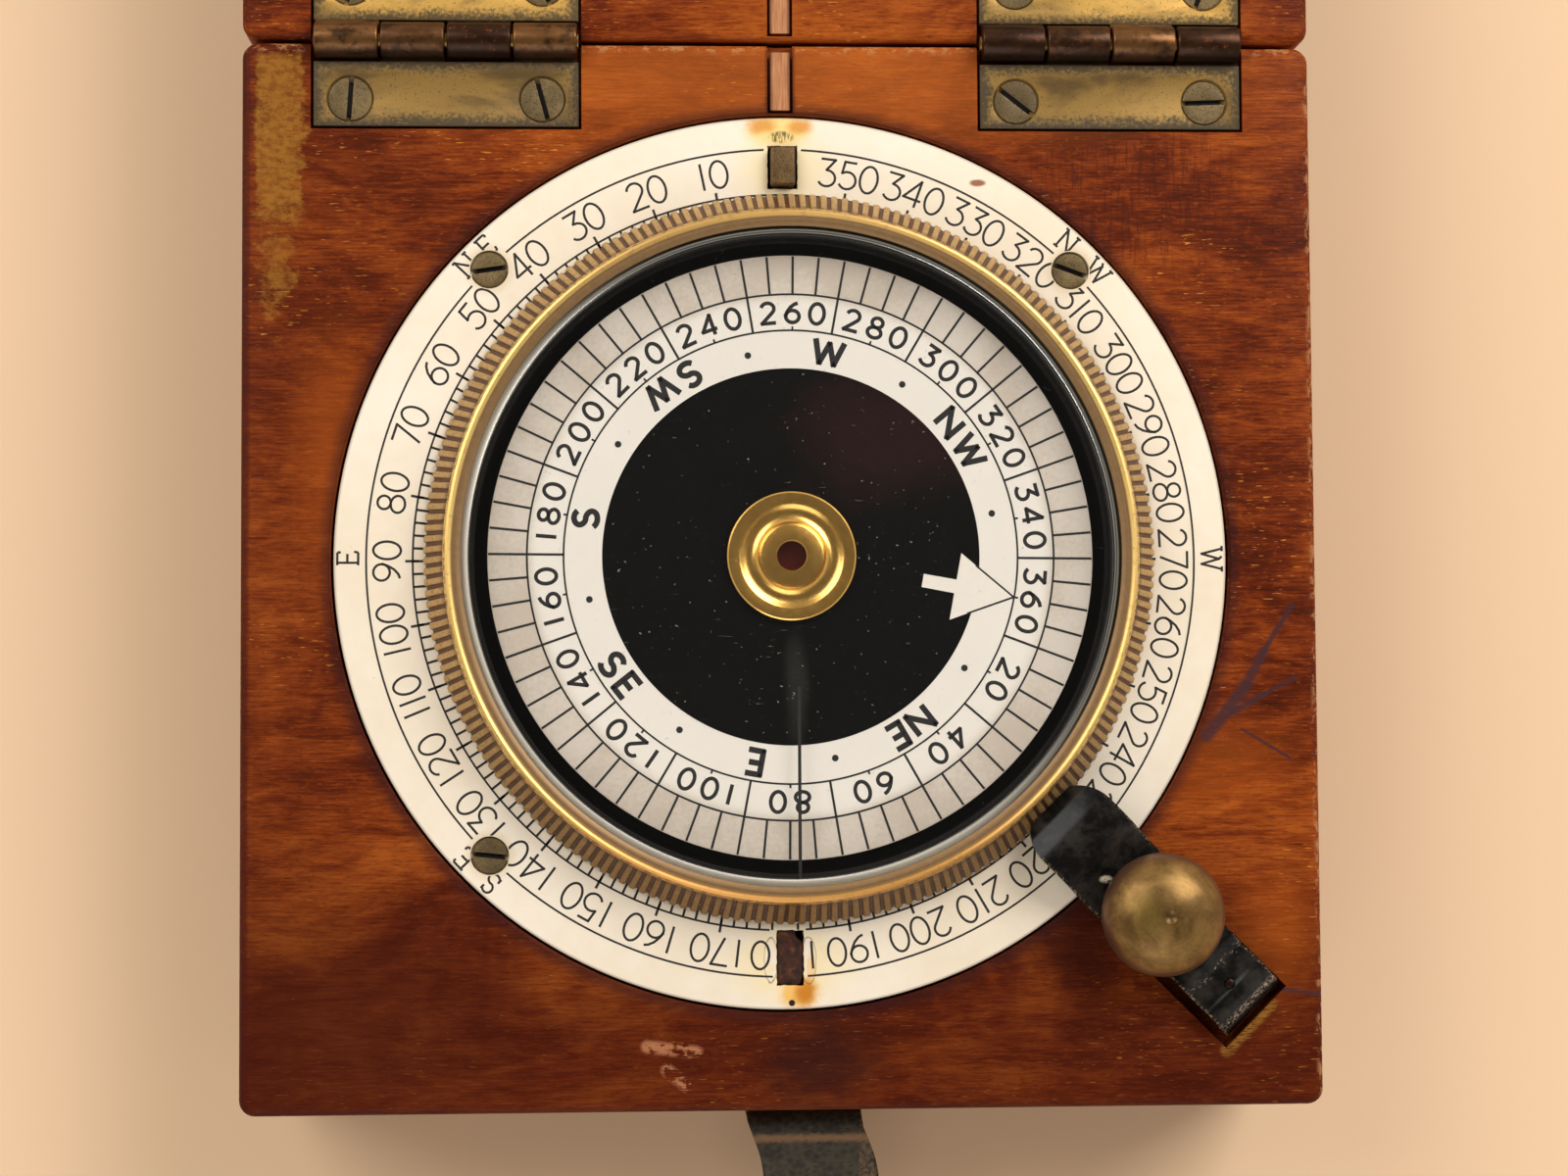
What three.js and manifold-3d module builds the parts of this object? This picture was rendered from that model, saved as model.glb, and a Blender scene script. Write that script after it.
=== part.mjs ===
// A marching compass in a mahogany case, open.
// Millimetres, Z up. The origin is under the middle of the dial ring, on the underside of the case.
// +Y points at the hinges and +X to the right of someone who reads the dial.

import * as THREE from "three";
import { mergeVertices } from "three/addons/utils/BufferGeometryUtils.js";
import Module from "manifold-3d";

const wasm = await Module();
wasm.setup();

// Fits
const seatGap = 0.3; // between two pieces that touch
const lidGap = 0.4; // between the case and the closed lid, and between their edges at the hinge
const pinClearance = 0.1; // round a hinge pin
const cutOverrun = 1; // how far a cutting tool passes the face that it opens

// Case
const sideMargin = 9.1; // of wood on either side of the dial ring
const backMargin = 7.3; // of wood from the dial ring to the hinge edge
const frontMargin = 9.9; // of wood from the dial ring to the front edge
const caseHeight = 28;
const caseFloor = 4;
const cornerRadius = 1.6; // of the case's and the lid's upright corners
const edgeRound = 0.8; // of their other edges

// Lid
const lidRoof = 5; // of wood over its deepest hollow
const lidRecessMargin = 1; // from the dial ring's hollow to the lid's, in radius
const bezelHeadroom = 1.6; // from the bezel to the closed lid
const knobHeadroom = 1.3; // from the thumb knob to the closed lid
const knobPocketClearance = 2; // round the thumb knob
const clampSlotClearance = 0.7; // on either side of the clamp strip

// Dial ring
const dialWidth = 9.6;
const dialThickness = 1.6;
const dialScrewInset = 3.4; // from the ring's outer edge to its screws

// Index blocks in the ring's slots
const northBlockWidth = 2.5;
const northBlockLength = 3.9;
const northBlockSetback = 2.5; // from the ring's bore to its near end
const northBlockProud = 1.2;
const northBlockOffset = 0.2;
const southBlockWidth = 2.2;
const southBlockLength = 5;
const southBlockSetback = 1.9;
const southBlockSunk = 0.3;
const southBlockOffset = 0.5;
const indexBlockRoot = 2; // how deep a block stands in the wood

// Bowl
const bowlEast = 0.8; // of its axis from the dial ring's, to the right
const bowlNorth = 0.3; // and towards the hinges
const bowlRadius = 32.2; // inside
const bowlWall = 1.2;
const bowlLipWidth = 1.2;
const bowlLipThickness = 1.5;
const bowlLipRise = 0.7; // of the lip's top over the case's top
const mountingRingWidth = 4.3;
const mountingRingThickness = 1.2;
const mountingRingDrop = 4.5; // from the case's top to the ring's top
const bowlScrewInset = 1.7; // from the mounting ring's outer edge
const bowlScrewCount = 3;

// Pivot
const pivotFootRadius = 4;
const pivotFootThickness = 1.2;
const pivotPostRadius = 2;
const needleLength = 2.9;
const needleRadius = 0.6;
const needleBlunt = 0.1; // radius of the needle's point

// Bezel
const bezelSlopeWidth = 2.2; // of the milled slope
const bezelBand = 0.4; // upright edge below the milled slope
const bezelCrestWidth = 0.7;
const bezelShoulderWidth = 1.1; // from the crest to the opening over the glass
const bezelSightLip = 0.9; // how far the brass reaches over the glass's seat
const bezelSeatStep = 0.7; // from the skirt's bore in to the glass's seat
const bezelHeight = 5.2; // of its crest over the case's top
const crestRise = 0.5; // of the crest over the milled slope's top
const sightDrop = 0.55; // from the crest to the opening's edge
const sightEdge = 0.25; // thickness of the brass there
const skirtThickness = 0.8;
const skirtDepth = 3; // below the case's top
const keeperRingWidth = 0.7;
const keeperRingThickness = 1;

// Glass
const glassThickness = 1.6;
const glassBevel = 1.2;
const retainingRingHeight = 1.6;
const retainingRingWidth = 1.4;

// Card
const cardClearance = 1.4; // from the card's edge to the bowl
const cardThickness = 0.5;
const cardHeading = 100.6; // degrees clockwise from +Y to the card's north
const capRadius = 6.55;
const capRimRadius = 5.3; // where the flat rim meets the dish
const capRimThickness = 0.5;
const capBossRadius = 3.3;
const capDishRadius = 4.4; // where the dish is lowest
const capDishDepth = 0.35;
const capHoleRadius = 1.5;
const capStemRadius = 3.6;
const capStemDrop = 1.4; // below the card
const jewelRadius = 1.9;
const jewelThickness = 1.3;
const magnetLength = 34;
const magnetWidth = 3;
const magnetThickness = 1.6;
const magnetSpread = 7.5; // from the card's middle to a magnet's middle
const clipLength = 19;
const clipWidth = 3;
const clipThickness = 0.6;
const clipInset = 6; // from a magnet's end to a clip's middle

// Clamp, along a line from the dial ring's middle to the case's right front corner
const clampAngle = -45; // degrees from +X to that line
const clampOffset = 1.2; // of the strip's middle from that line
const toeOverlap = 0.7; // of the strip's toe over the bezel's edge
const toeToKnob = 15.3;
const knobToRivet = 10.1;
const rivetToTail = 3.8;
const stripThickness = 0.9;
const stripWidth = 9.2;
const stripTailWidth = 7.6;
const toeCornerRadius = 4.1;
const stripClearance = 1.2; // from the case's top to the strip's underside at the knob
const stripCrest = 2.45; // of the strip's hump over that height
const mortiseDepth = 3;
const mortiseClearance = 0.9; // on either side of the strip's tail
const mortiseBeyondTail = 1.1;
const washerRadius = 3.2;
const washerThickness = 0.7;
const knobRadius = 6.2;
const knobCollarRadius = 3.4;
const knobCollarHeight = 0.5;
const knobRimHeight = 0.6;
const knobDome = 4.1;
const knobDimpleRadius = 0.8;
const knobDimpleDepth = 0.35;
const knobBoreDepth = 2.6;
const clampScrewRadius = 1.5;
const clampScrewReach = 11; // below the case's top
const nutWall = 1.2;
const nutDepth = 13;
const rivetRadius = 0.6;
const rivetHeadRadius = 0.85;
const rivetHeadHeight = 0.35;
const rivetRoot = 2; // below the mortise's floor

// Hinges
const hingeMargin = 7.3; // from the case's side to the end of a hinge
const hingeLength = 27;
const leafReach = 8.8; // from the hinge's axis to a leaf's far edge
const leafThickness = 1.2;
const knuckleRadius = 1.85;
const knuckleCount = 4;
const hingePinRadius = 0.75;
const hingeScrewInset = 3.7; // from a leaf's end to its screw
const hingeScrewEdge = 2.8; // from a leaf's far edge to its screws

// Screws: radius of the head, its depth, radius of the shank, length
const hingeScrewHead = 2.35;
const hingeScrewHeadDepth = 0.75;
const hingeScrewShank = 1.1;
const hingeScrewLength = 9;
const dialScrewHead = 1.9;
const dialScrewHeadDepth = 0.9;
const dialScrewShank = 0.9;
const dialScrewLength = 8;
const bowlScrewHead = 1.25;
const bowlScrewHeadDepth = 0.7;
const bowlScrewShank = 0.6;
const bowlScrewLength = 7;
const screwSunk = 0.15; // of a screw's head under its face
const screwSlotShare = 0.24; // of the head's radius, the slot's width
const screwSlotDepthShare = 0.6; // of the head's depth

// Direction strips
const lineWidth = 2;
const lineDepth = 1;
const lineEndGap = 0.5; // from a strip's end to the hollow next to it

// Leather tab and its stud
const strapWidth = 11.8;
const strapThickness = 1.6;
const strapOffset = 2.3; // of its middle from the middle of the case
const strapRootDrop = 11; // from the case's top to the root's top
const strapRootHeight = 11;
const strapDroop = 14; // degrees below level
const strapLength = 26; // from the fold's axis to the tab's end
const strapRise = 0.7; // of the tab's middle over the fold's axis
const strapHoleClearance = 0.45;
const strapNailRadius = 0.7;
const strapNailHeadRadius = 1.7;
const strapNailHeadHeight = 0.8;
const strapNailLength = 6;
const strapNailSpread = 5.4;
const studHeight = 7.6; // of the stud over the closed lid's lower face
const studHeadRadius = 2.2;
const studHeadHeight = 0.9;
const studNeckRadius = 1.2;
const studNeckLength = 2.5;
const studRoot = 4; // in the wood

// Facets of a round
const largeSegments = 48;
const middleSegments = 24;
const smallSegments = 12;
const outlineSegments = 8; // of a corner in an outline
const cornerSegments = 3; // of the wood's upright corners
const edgeSegments = 2; // of the wood's other edges

// Radii and reaches that follow from the bowl outwards
const bowlOuterRadius = bowlRadius + bowlWall;
const bowlLipRadius = bowlOuterRadius + bowlLipWidth;
const skirtInner = bowlLipRadius + seatGap;
const skirtOuter = skirtInner + skirtThickness;
const bezelSeatRadius = skirtInner - bezelSeatStep;
const bezelSightRadius = bezelSeatRadius - bezelSightLip;
const bezelCrestRadius = bezelSightRadius + bezelShoulderWidth + bezelCrestWidth;
const bezelRadius = bezelCrestRadius + bezelSlopeWidth;
const mountingRingRadius = bowlOuterRadius + seatGap + mountingRingWidth;
const bowlScrewCircle = mountingRingRadius - bowlScrewInset;
const dialBoreRadius = skirtOuter + seatGap;
const dialRadius = dialBoreRadius + dialWidth;
const dialScrewCircle = dialRadius - dialScrewInset;
const dialRecessRadius = dialRadius + seatGap;
const northBlockInner = dialBoreRadius + northBlockSetback;
const southBlockInner = dialBoreRadius + southBlockSetback;
const caseWidth = 2 * (dialRecessRadius + sideMargin);
const backReach = dialRecessRadius + backMargin;
const frontReach = dialRecessRadius + frontMargin;
const caseDepth = backReach + frontReach;
const hingeY = backReach + lidGap / 2;
const hingeSpread = caseWidth / 2 - hingeMargin - hingeLength / 2;
const hingeScrewSpread = hingeLength / 2 - hingeScrewInset;
const hingeScrewReach = leafReach - hingeScrewEdge;
const cardRadius = bowlRadius - cardClearance;
const clampTurn = THREE.MathUtils.degToRad(clampAngle);
const bowlTowardsClamp = bowlEast * Math.cos(clampTurn) + bowlNorth * Math.sin(clampTurn);
const toeReach = bowlTowardsClamp + bezelRadius - toeOverlap;
const knobReach = toeReach + toeToKnob;
const rivetReach = knobReach + knobToRivet;
const tailReach = rivetReach + rivetToTail;
const mortiseNear = knobReach + washerRadius;
const mortiseFar = tailReach + mortiseBeyondTail;
const lidRecessRadius = dialRecessRadius + lidRecessMargin;

// Heights that follow from the case's and the lid's
const dialLow = caseHeight - dialThickness;
const dialRecessFloor = dialLow - seatGap;
const hingeZ = caseHeight + lidGap / 2;
const bowlLow = caseFloor + seatGap;
const bowlTop = caseHeight + bowlLipRise;
const mountingRingTop = caseHeight - mountingRingDrop;
const mountingRingLow = mountingRingTop - mountingRingThickness;
const ledgeHeight = mountingRingLow - seatGap;
const ledgeBoreRadius = bowlOuterRadius + seatGap + seatGap;
const retainingRingLow = bowlTop + seatGap;
const glassLow = retainingRingLow + retainingRingHeight + seatGap;
const glassTop = glassLow + glassThickness;
const bezelTop = caseHeight + bezelHeight;
const cardTop = glassLow - seatGap - capRimThickness - capDishDepth - seatGap;
const cardLow = cardTop - cardThickness;
const stripMiddle = caseHeight + stripClearance + stripThickness / 2;
const stripTopAtKnob = stripMiddle + stripThickness / 2;
const washerLow = stripTopAtKnob + seatGap;
const washerTop = washerLow + washerThickness;
const knobLow = washerTop + seatGap;
const knobRimTop = knobLow + 2 * knobCollarHeight + knobRimHeight;
const knobTop = knobRimTop + knobDome;
const mortiseFloor = caseHeight - mortiseDepth;
const closedLidFace = caseHeight + lidGap;
const lidRecessDepth = bezelTop - closedLidFace + bezelHeadroom;
const knobPocketDepth = knobTop - closedLidFace + knobHeadroom;
const lidHeight = knobPocketDepth + lidRoof;
const strapAxisY = -frontReach - seatGap - strapThickness - seatGap / 2;
const strapBarrelRadius = strapRise + strapThickness / 2;
const strapRootTop = caseHeight - strapRootDrop;
const strapRootLow = strapRootTop - strapRootHeight;
const strapAxisZ = strapRootTop + strapBarrelRadius + seatGap;
const strapHoleReach = closedLidFace + studHeight - strapAxisZ;

// Finishes: colour, roughness, metalness
const finishes = {
  mahogany: [0x8a3d16, 0.45, 0],
  inlay: [0xc8906a, 0.6, 0],
  ivorine: [0xf3e8d2, 0.4, 0],
  brass: [0xb08a45, 0.35, 1],
  tarnish: [0x82703c, 0.55, 1],
  steel: [0x7a7a78, 0.35, 1],
  rust: [0x4a2716, 0.85, 0.3],
  blackBrass: [0x14110f, 0.5, 0.4],
  japan: [0x16161a, 0.25, 0.2],
  glass: [0xe8eeee, 0.05, 0],
  card: [0xd9d0c4, 0.6, 0],
  jewel: [0x4a1408, 0.15, 0],
  leather: [0x2a251c, 0.7, 0],
};

// Solids: each shape is a geometry, and manifold-3d joins and cuts them

function solidOf(geometry) {
  const bare = geometry.index ? geometry.toNonIndexed() : geometry.clone();
  bare.deleteAttribute("normal");
  bare.deleteAttribute("uv");
  const merged = mergeVertices(bare);
  const corners = merged.index.array;
  const kept = [];
  for (let i = 0; i < corners.length; i += 3) {
    const [a, b, c] = corners.subarray(i, i + 3);
    if (a !== b && b !== c && c !== a) kept.push(a, b, c);
  }
  return new wasm.Manifold(
    new wasm.Mesh({
      numProp: 3,
      vertProperties: merged.attributes.position.array,
      triVerts: new Uint32Array(kept),
    }),
  );
}

function geometryOf(solid) {
  const mesh = solid.getMesh();
  return new THREE.BufferGeometry()
    .setAttribute("position", new THREE.BufferAttribute(mesh.vertProperties, 3))
    .setIndex(new THREE.BufferAttribute(mesh.triVerts, 1));
}

function cut(body, ...tools) {
  return geometryOf(tools.reduce((solid, tool) => solid.subtract(solidOf(tool)), solidOf(body)));
}

function join(body, ...others) {
  return geometryOf(others.reduce((solid, other) => solid.add(solidOf(other)), solidOf(body)));
}

function common(body, other) {
  return geometryOf(solidOf(body).intersect(solidOf(other)));
}

function piece(name, geometry, finish) {
  const [color, roughness, metalness] = finishes[finish];
  geometry.computeVertexNormals();
  const mesh = new THREE.Mesh(geometry, new THREE.MeshStandardMaterial({ color, roughness, metalness }));
  mesh.name = name;
  return mesh;
}

// A solid of revolution about Z from a profile of [radius, height]
function turned(profile, segments = middleSegments) {
  const points = profile.map(([radius, height]) => new THREE.Vector2(radius, height));
  if (THREE.ShapeUtils.area(points) < 0) points.reverse();
  const closesOnAxis = points[0].x === 0 && points.at(-1).x === 0;
  if (!closesOnAxis) points.push(points[0].clone());
  return new THREE.LatheGeometry(points, segments).rotateX(Math.PI / 2);
}

function cylinder(radius, low, high, segments = smallSegments) {
  return turned([[0, low], [radius, low], [radius, high], [0, high]], segments);
}

function ring(innerRadius, outerRadius, low, high, segments = largeSegments) {
  return turned(
    [[innerRadius, low], [outerRadius, low], [outerRadius, high], [innerRadius, high]],
    segments,
  );
}

function box([x0, x1], [y0, y1], [z0, z1]) {
  return new THREE.BoxGeometry(x1 - x0, y1 - y0, z1 - z0).translate(
    (x0 + x1) / 2,
    (y0 + y1) / 2,
    (z0 + z1) / 2,
  );
}

// A prism whose outline lies in X and Y
function prism(outline, low, high) {
  const shape = new THREE.Shape(outline.map(([x, y]) => new THREE.Vector2(x, y)));
  return new THREE.ExtrudeGeometry(shape, { depth: high - low, bevelEnabled: false }).translate(0, 0, low);
}

// A rectangular block with round corners and edges
function woodBlock(width, low, high, front, back) {
  const inset = edgeRound;
  const x = width / 2 - inset;
  const y0 = front + inset;
  const y1 = back - inset;
  const r = cornerRadius - inset;
  const shape = new THREE.Shape()
    .moveTo(-x + r, y0)
    .lineTo(x - r, y0)
    .absarc(x - r, y0 + r, r, -Math.PI / 2, 0)
    .lineTo(x, y1 - r)
    .absarc(x - r, y1 - r, r, 0, Math.PI / 2)
    .lineTo(-x + r, y1)
    .absarc(-x + r, y1 - r, r, Math.PI / 2, Math.PI)
    .lineTo(-x, y0 + r)
    .absarc(-x + r, y0 + r, r, Math.PI, 1.5 * Math.PI);
  return new THREE.ExtrudeGeometry(shape, {
    depth: high - low - inset - inset,
    bevelSize: inset,
    bevelThickness: inset,
    bevelSegments: edgeSegments,
    curveSegments: cornerSegments,
  }).translate(0, 0, low + inset);
}

// Screws stand with their head's face at height 0, and growth makes the hole for one

function screwProfile({ head, headDepth, shank, length }, growth = 0) {
  const coneTop = -screwSunk;
  const top = growth ? [[0, cutOverrun], [head + growth, cutOverrun]] : [[0, coneTop]];
  const bottom = -length - growth;
  return [
    ...top,
    [head + growth, coneTop],
    [shank + growth, -headDepth - screwSunk - growth],
    [shank + growth, bottom],
    [0, bottom],
  ];
}

function screwBody(size, slotDegrees) {
  const slotWidth = size.head * screwSlotShare;
  const slotFloor = -screwSunk - size.headDepth * screwSlotDepthShare;
  const reach = size.head + cutOverrun;
  const slot = box([-reach, reach], [-slotWidth / 2, slotWidth / 2], [slotFloor, cutOverrun]);
  slot.rotateZ(THREE.MathUtils.degToRad(slotDegrees));
  return cut(turned(screwProfile(size), smallSegments), slot);
}

function screwHole(size, x, y, z) {
  return turned(screwProfile(size, seatGap), smallSegments).translate(x, y, z);
}

function screwPiece(name, size, slotDegrees, x, y, z, finish) {
  const mesh = piece(name, screwBody(size, slotDegrees), finish);
  mesh.position.set(x, y, z);
  return mesh;
}

const hingeScrew = {
  head: hingeScrewHead,
  headDepth: hingeScrewHeadDepth,
  shank: hingeScrewShank,
  length: hingeScrewLength,
};
const dialScrew = {
  head: dialScrewHead,
  headDepth: dialScrewHeadDepth,
  shank: dialScrewShank,
  length: dialScrewLength,
};
const bowlScrew = {
  head: bowlScrewHead,
  headDepth: bowlScrewHeadDepth,
  shank: bowlScrewShank,
  length: bowlScrewLength,
};

// Places that several pieces share

const dialScrewPlaces = [
  ["nw", 135, 8],
  ["ne", 45, -20],
  ["sw", 225, -6],
  ["se", 315, 30],
].map(([name, degrees, slot]) => {
  const turn = THREE.MathUtils.degToRad(degrees);
  return [name, dialScrewCircle * Math.cos(turn), dialScrewCircle * Math.sin(turn), slot];
});

const bowlScrewPlaces = Array.from({ length: bowlScrewCount }, (_, i) => {
  const turn = Math.PI / 2 + (i * 2 * Math.PI) / bowlScrewCount;
  return [bowlEast + bowlScrewCircle * Math.cos(turn), bowlNorth + bowlScrewCircle * Math.sin(turn)];
});

// Each hinge: name, middle, and the slot angles of its case and lid screws
const hinges = [
  ["left", -hingeSpread, [86, 105], [80, 110]],
  ["right", hingeSpread, [-38, 2], [20, 70]],
];

// Moves a geometry turned about Z to the bowl's axis
function atBowl(geometry) {
  return geometry.translate(bowlEast, bowlNorth, 0);
}

// Moves a geometry from the clamp's own frame, X along the strip, to the case's frame
function atClamp(geometry) {
  return geometry.translate(0, clampOffset, 0).rotateZ(clampTurn);
}

// Moves a geometry from the case's frame to its mirrored place in the open lid's frame
function inLid(geometry) {
  return geometry.translate(0, -hingeY, -hingeZ).rotateX(Math.PI);
}

// Case

function indexSlot(width, length, inner, offset, side, low) {
  const half = width / 2 + seatGap;
  const ends = [side * (inner - seatGap), side * (inner + length + seatGap)].sort((a, b) => a - b);
  return box([offset - half, offset + half], ends, [low, caseHeight + cutOverrun]);
}

function indexSlots(low) {
  return [
    indexSlot(northBlockWidth, northBlockLength, northBlockInner, northBlockOffset, 1, low),
    indexSlot(southBlockWidth, southBlockLength, southBlockInner, southBlockOffset, -1, low),
  ];
}

// The hollow for a leaf, in the hinge's frame: side is -1 in the case and 1 in the lid
function leafRecess(side) {
  const half = hingeLength / 2 + seatGap;
  const ends = [0, side * (leafReach + seatGap)].sort((a, b) => a - b);
  const low = -lidGap / 2 - leafThickness - seatGap;
  const pocket = box([-half, half], ends, [low, cutOverrun]);
  const barrel = cylinder(knuckleRadius + seatGap, -half, half).rotateY(Math.PI / 2);
  return [pocket, barrel];
}

function hingeScrewPlaces(middle) {
  return [middle - hingeScrewSpread, middle + hingeScrewSpread].map((x) => [x, hingeY - hingeScrewReach]);
}

function lineRecess(from, to, top) {
  const half = lineWidth / 2 + seatGap;
  return box([-half, half], [from - seatGap, to + seatGap], [top - lineDepth - seatGap, top + cutOverrun]);
}

function lineStrip(name, from, to, top) {
  return piece(name, box([-lineWidth / 2, lineWidth / 2], [from, to], [top - lineDepth, top]), "inlay");
}

const caseLineFrom = dialRecessRadius + lineEndGap;
const caseLineTo = backReach - edgeRound;

function clampMortise() {
  const half = stripTailWidth / 2 + mortiseClearance;
  return atClamp(box([mortiseNear, mortiseFar], [-half, half], [mortiseFloor, caseHeight + cutOverrun]));
}

function nutHole() {
  const radius = clampScrewRadius + seatGap + nutWall + seatGap;
  const low = caseHeight - nutDepth - seatGap - seatGap;
  return atClamp(cylinder(radius, low, caseHeight + cutOverrun).translate(knobReach, 0, 0));
}

function rivetHole() {
  const low = mortiseFloor - rivetRoot - seatGap;
  return atClamp(cylinder(rivetRadius + seatGap, low, caseHeight).translate(rivetReach, 0, 0));
}

function strapNailHeights() {
  const middle = (strapRootLow + strapRootTop) / 2;
  return [middle - strapNailSpread / 2, middle + strapNailSpread / 2];
}

// A nail's body stands along Y with its head towards the front
function strapNailBody(growth) {
  const length = growth ? strapNailLength + seatGap : strapNailLength;
  const head = growth ? strapNailRadius + growth : strapNailHeadRadius;
  return turned(
    [
      [0, -length],
      [strapNailRadius + growth, -length],
      [strapNailRadius + growth, 0],
      [head, 0],
      [head * Math.cos(Math.PI / 4), strapNailHeadHeight * Math.sin(Math.PI / 4)],
      [0, strapNailHeadHeight],
    ],
    smallSegments,
  ).rotateX(Math.PI / 2);
}

const strapFaceY = -frontReach - seatGap - strapThickness;

function strapNailHoles() {
  const y = strapFaceY - seatGap;
  return strapNailHeights().map((z) => strapNailBody(seatGap).translate(strapOffset, y, z));
}

function caseBlock() {
  const block = woodBlock(caseWidth, 0, caseHeight, -frontReach, backReach);
  const top = caseHeight + cutOverrun;
  return cut(
    block,
    cylinder(dialRecessRadius, dialRecessFloor, top, largeSegments),
    atBowl(cylinder(mountingRingRadius + seatGap, ledgeHeight, top, largeSegments)),
    atBowl(cylinder(ledgeBoreRadius, caseFloor, top, largeSegments)),
    ...indexSlots(dialRecessFloor - indexBlockRoot),
    ...dialScrewPlaces.map(([, x, y]) => screwHole(dialScrew, x, y, caseHeight)),
    ...bowlScrewPlaces.map(([x, y]) => screwHole(bowlScrew, x, y, mountingRingTop)),
    ...hinges.flatMap(([, middle]) => leafRecess(-1).map((tool) => tool.translate(middle, hingeY, hingeZ))),
    ...hinges
      .flatMap(([, middle]) => hingeScrewPlaces(middle))
      .map(([x, y]) => screwHole(hingeScrew, x, y, caseHeight)),
    lineRecess(caseLineFrom, backReach + cutOverrun, caseHeight),
    clampMortise(),
    nutHole(),
    rivetHole(),
    ...strapNailHoles(),
  );
}

function indexBlock(name, width, length, inner, offset, side, top, finish) {
  const ends = [side * inner, side * (inner + length)].sort((a, b) => a - b);
  const low = dialRecessFloor - indexBlockRoot + seatGap;
  return piece(name, box([offset - width / 2, offset + width / 2], ends, [low, top]), finish);
}

// The ring's bore follows the bowl, and its edge and everything on it follow its own middle
function dialRing() {
  const overrunTop = caseHeight + cutOverrun;
  return cut(
    cylinder(dialRadius, dialLow, caseHeight, largeSegments),
    atBowl(cylinder(dialBoreRadius, dialLow - cutOverrun, overrunTop, largeSegments)),
    ...indexSlots(dialLow - cutOverrun),
    ...dialScrewPlaces.map(([, x, y]) => screwHole(dialScrew, x, y, caseHeight)),
  );
}

// Bowl and pivot

function bowlBody() {
  const lipLow = bowlTop - bowlLipThickness;
  const floor = bowlLow + bowlWall;
  return turned(
    [
      [0, bowlLow],
      [bowlOuterRadius, bowlLow],
      [bowlOuterRadius, lipLow],
      [bowlLipRadius, lipLow],
      [bowlLipRadius, bowlTop],
      [bowlRadius, bowlTop],
      [bowlRadius, floor],
      [0, floor],
    ],
    largeSegments,
  );
}

function mountingRing() {
  return cut(
    atBowl(ring(bowlOuterRadius + seatGap, mountingRingRadius, mountingRingLow, mountingRingTop)),
    ...bowlScrewPlaces.map(([x, y]) => screwHole(bowlScrew, x, y, mountingRingTop)),
  );
}

const pivotLow = bowlLow + bowlWall + seatGap;
const jewelLow = cardLow - capStemDrop + seatGap;
const needleTip = jewelLow + jewelThickness / 2 - seatGap;
const needleLow = needleTip - needleLength;
const postTop = needleLow - seatGap;

function pivotPost() {
  const footTop = pivotLow + pivotFootThickness;
  return turned([
    [0, pivotLow],
    [pivotFootRadius, pivotLow],
    [pivotFootRadius, footTop],
    [pivotPostRadius, footTop + pivotPostRadius],
    [pivotPostRadius, postTop],
    [0, postTop],
  ]);
}

function pivotNeedle() {
  return turned(
    [
      [0, needleLow],
      [needleRadius, needleLow],
      [needleRadius, (needleLow + needleTip) / 2],
      [needleBlunt, needleTip],
      [0, needleTip],
    ],
    smallSegments,
  );
}

function casePieces() {
  const north = caseHeight + northBlockProud;
  const south = caseHeight - southBlockSunk;
  return [
    piece("case_block", caseBlock(), "mahogany"),
    lineStrip("case_direction_strip", caseLineFrom, caseLineTo, caseHeight),
    piece("dial_ring", dialRing(), "ivorine"),
    ...dialScrewPlaces.map(([name, x, y, slot]) =>
      screwPiece(`dial_screw_${name}`, dialScrew, slot, x, y, caseHeight, "tarnish"),
    ),
    indexBlock(
      "north_index_block",
      northBlockWidth,
      northBlockLength,
      northBlockInner,
      northBlockOffset,
      1,
      north,
      "tarnish",
    ),
    indexBlock(
      "south_index_block",
      southBlockWidth,
      southBlockLength,
      southBlockInner,
      southBlockOffset,
      -1,
      south,
      "rust",
    ),
    piece("bowl", atBowl(bowlBody()), "blackBrass"),
    piece("bowl_mounting_ring", mountingRing(), "blackBrass"),
    ...bowlScrewPlaces.map(([x, y], i) =>
      screwPiece(`bowl_screw_${i + 1}`, bowlScrew, 0, x, y, mountingRingTop, "brass"),
    ),
    piece("pivot_post", atBowl(pivotPost()), "brass"),
    piece("pivot_needle", atBowl(pivotNeedle()), "steel"),
  ];
}

// Hinges, each in its own frame: its axis is X through the origin and the case lies towards -Y

function caseLeaf() {
  const top = -lidGap / 2;
  const low = top - leafThickness;
  const plateEdge = -knuckleRadius - seatGap;
  const knuckleLength = hingeLength / knuckleCount;
  let leaf = box([-hingeLength / 2, hingeLength / 2], [-leafReach, plateEdge], [low, top]);
  for (let i = 1; i < knuckleCount; i += 2) {
    const from = -hingeLength / 2 + i * knuckleLength + seatGap / 2;
    const to = from + knuckleLength - seatGap;
    const tongue = box([from, to], [plateEdge - seatGap, 0], [low, top]);
    const knuckle = cylinder(knuckleRadius, from, to).rotateY(Math.PI / 2);
    leaf = join(leaf, tongue, knuckle);
  }
  const bore = cylinder(hingePinRadius + pinClearance, -hingeLength, hingeLength).rotateY(Math.PI / 2);
  const holes = [-hingeScrewSpread, hingeScrewSpread].map((x) =>
    screwHole(hingeScrew, x, -hingeScrewReach, top),
  );
  return cut(leaf, bore, ...holes);
}

function hingePin() {
  return cylinder(hingePinRadius, -hingeLength / 2, hingeLength / 2).rotateY(Math.PI / 2);
}

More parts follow.
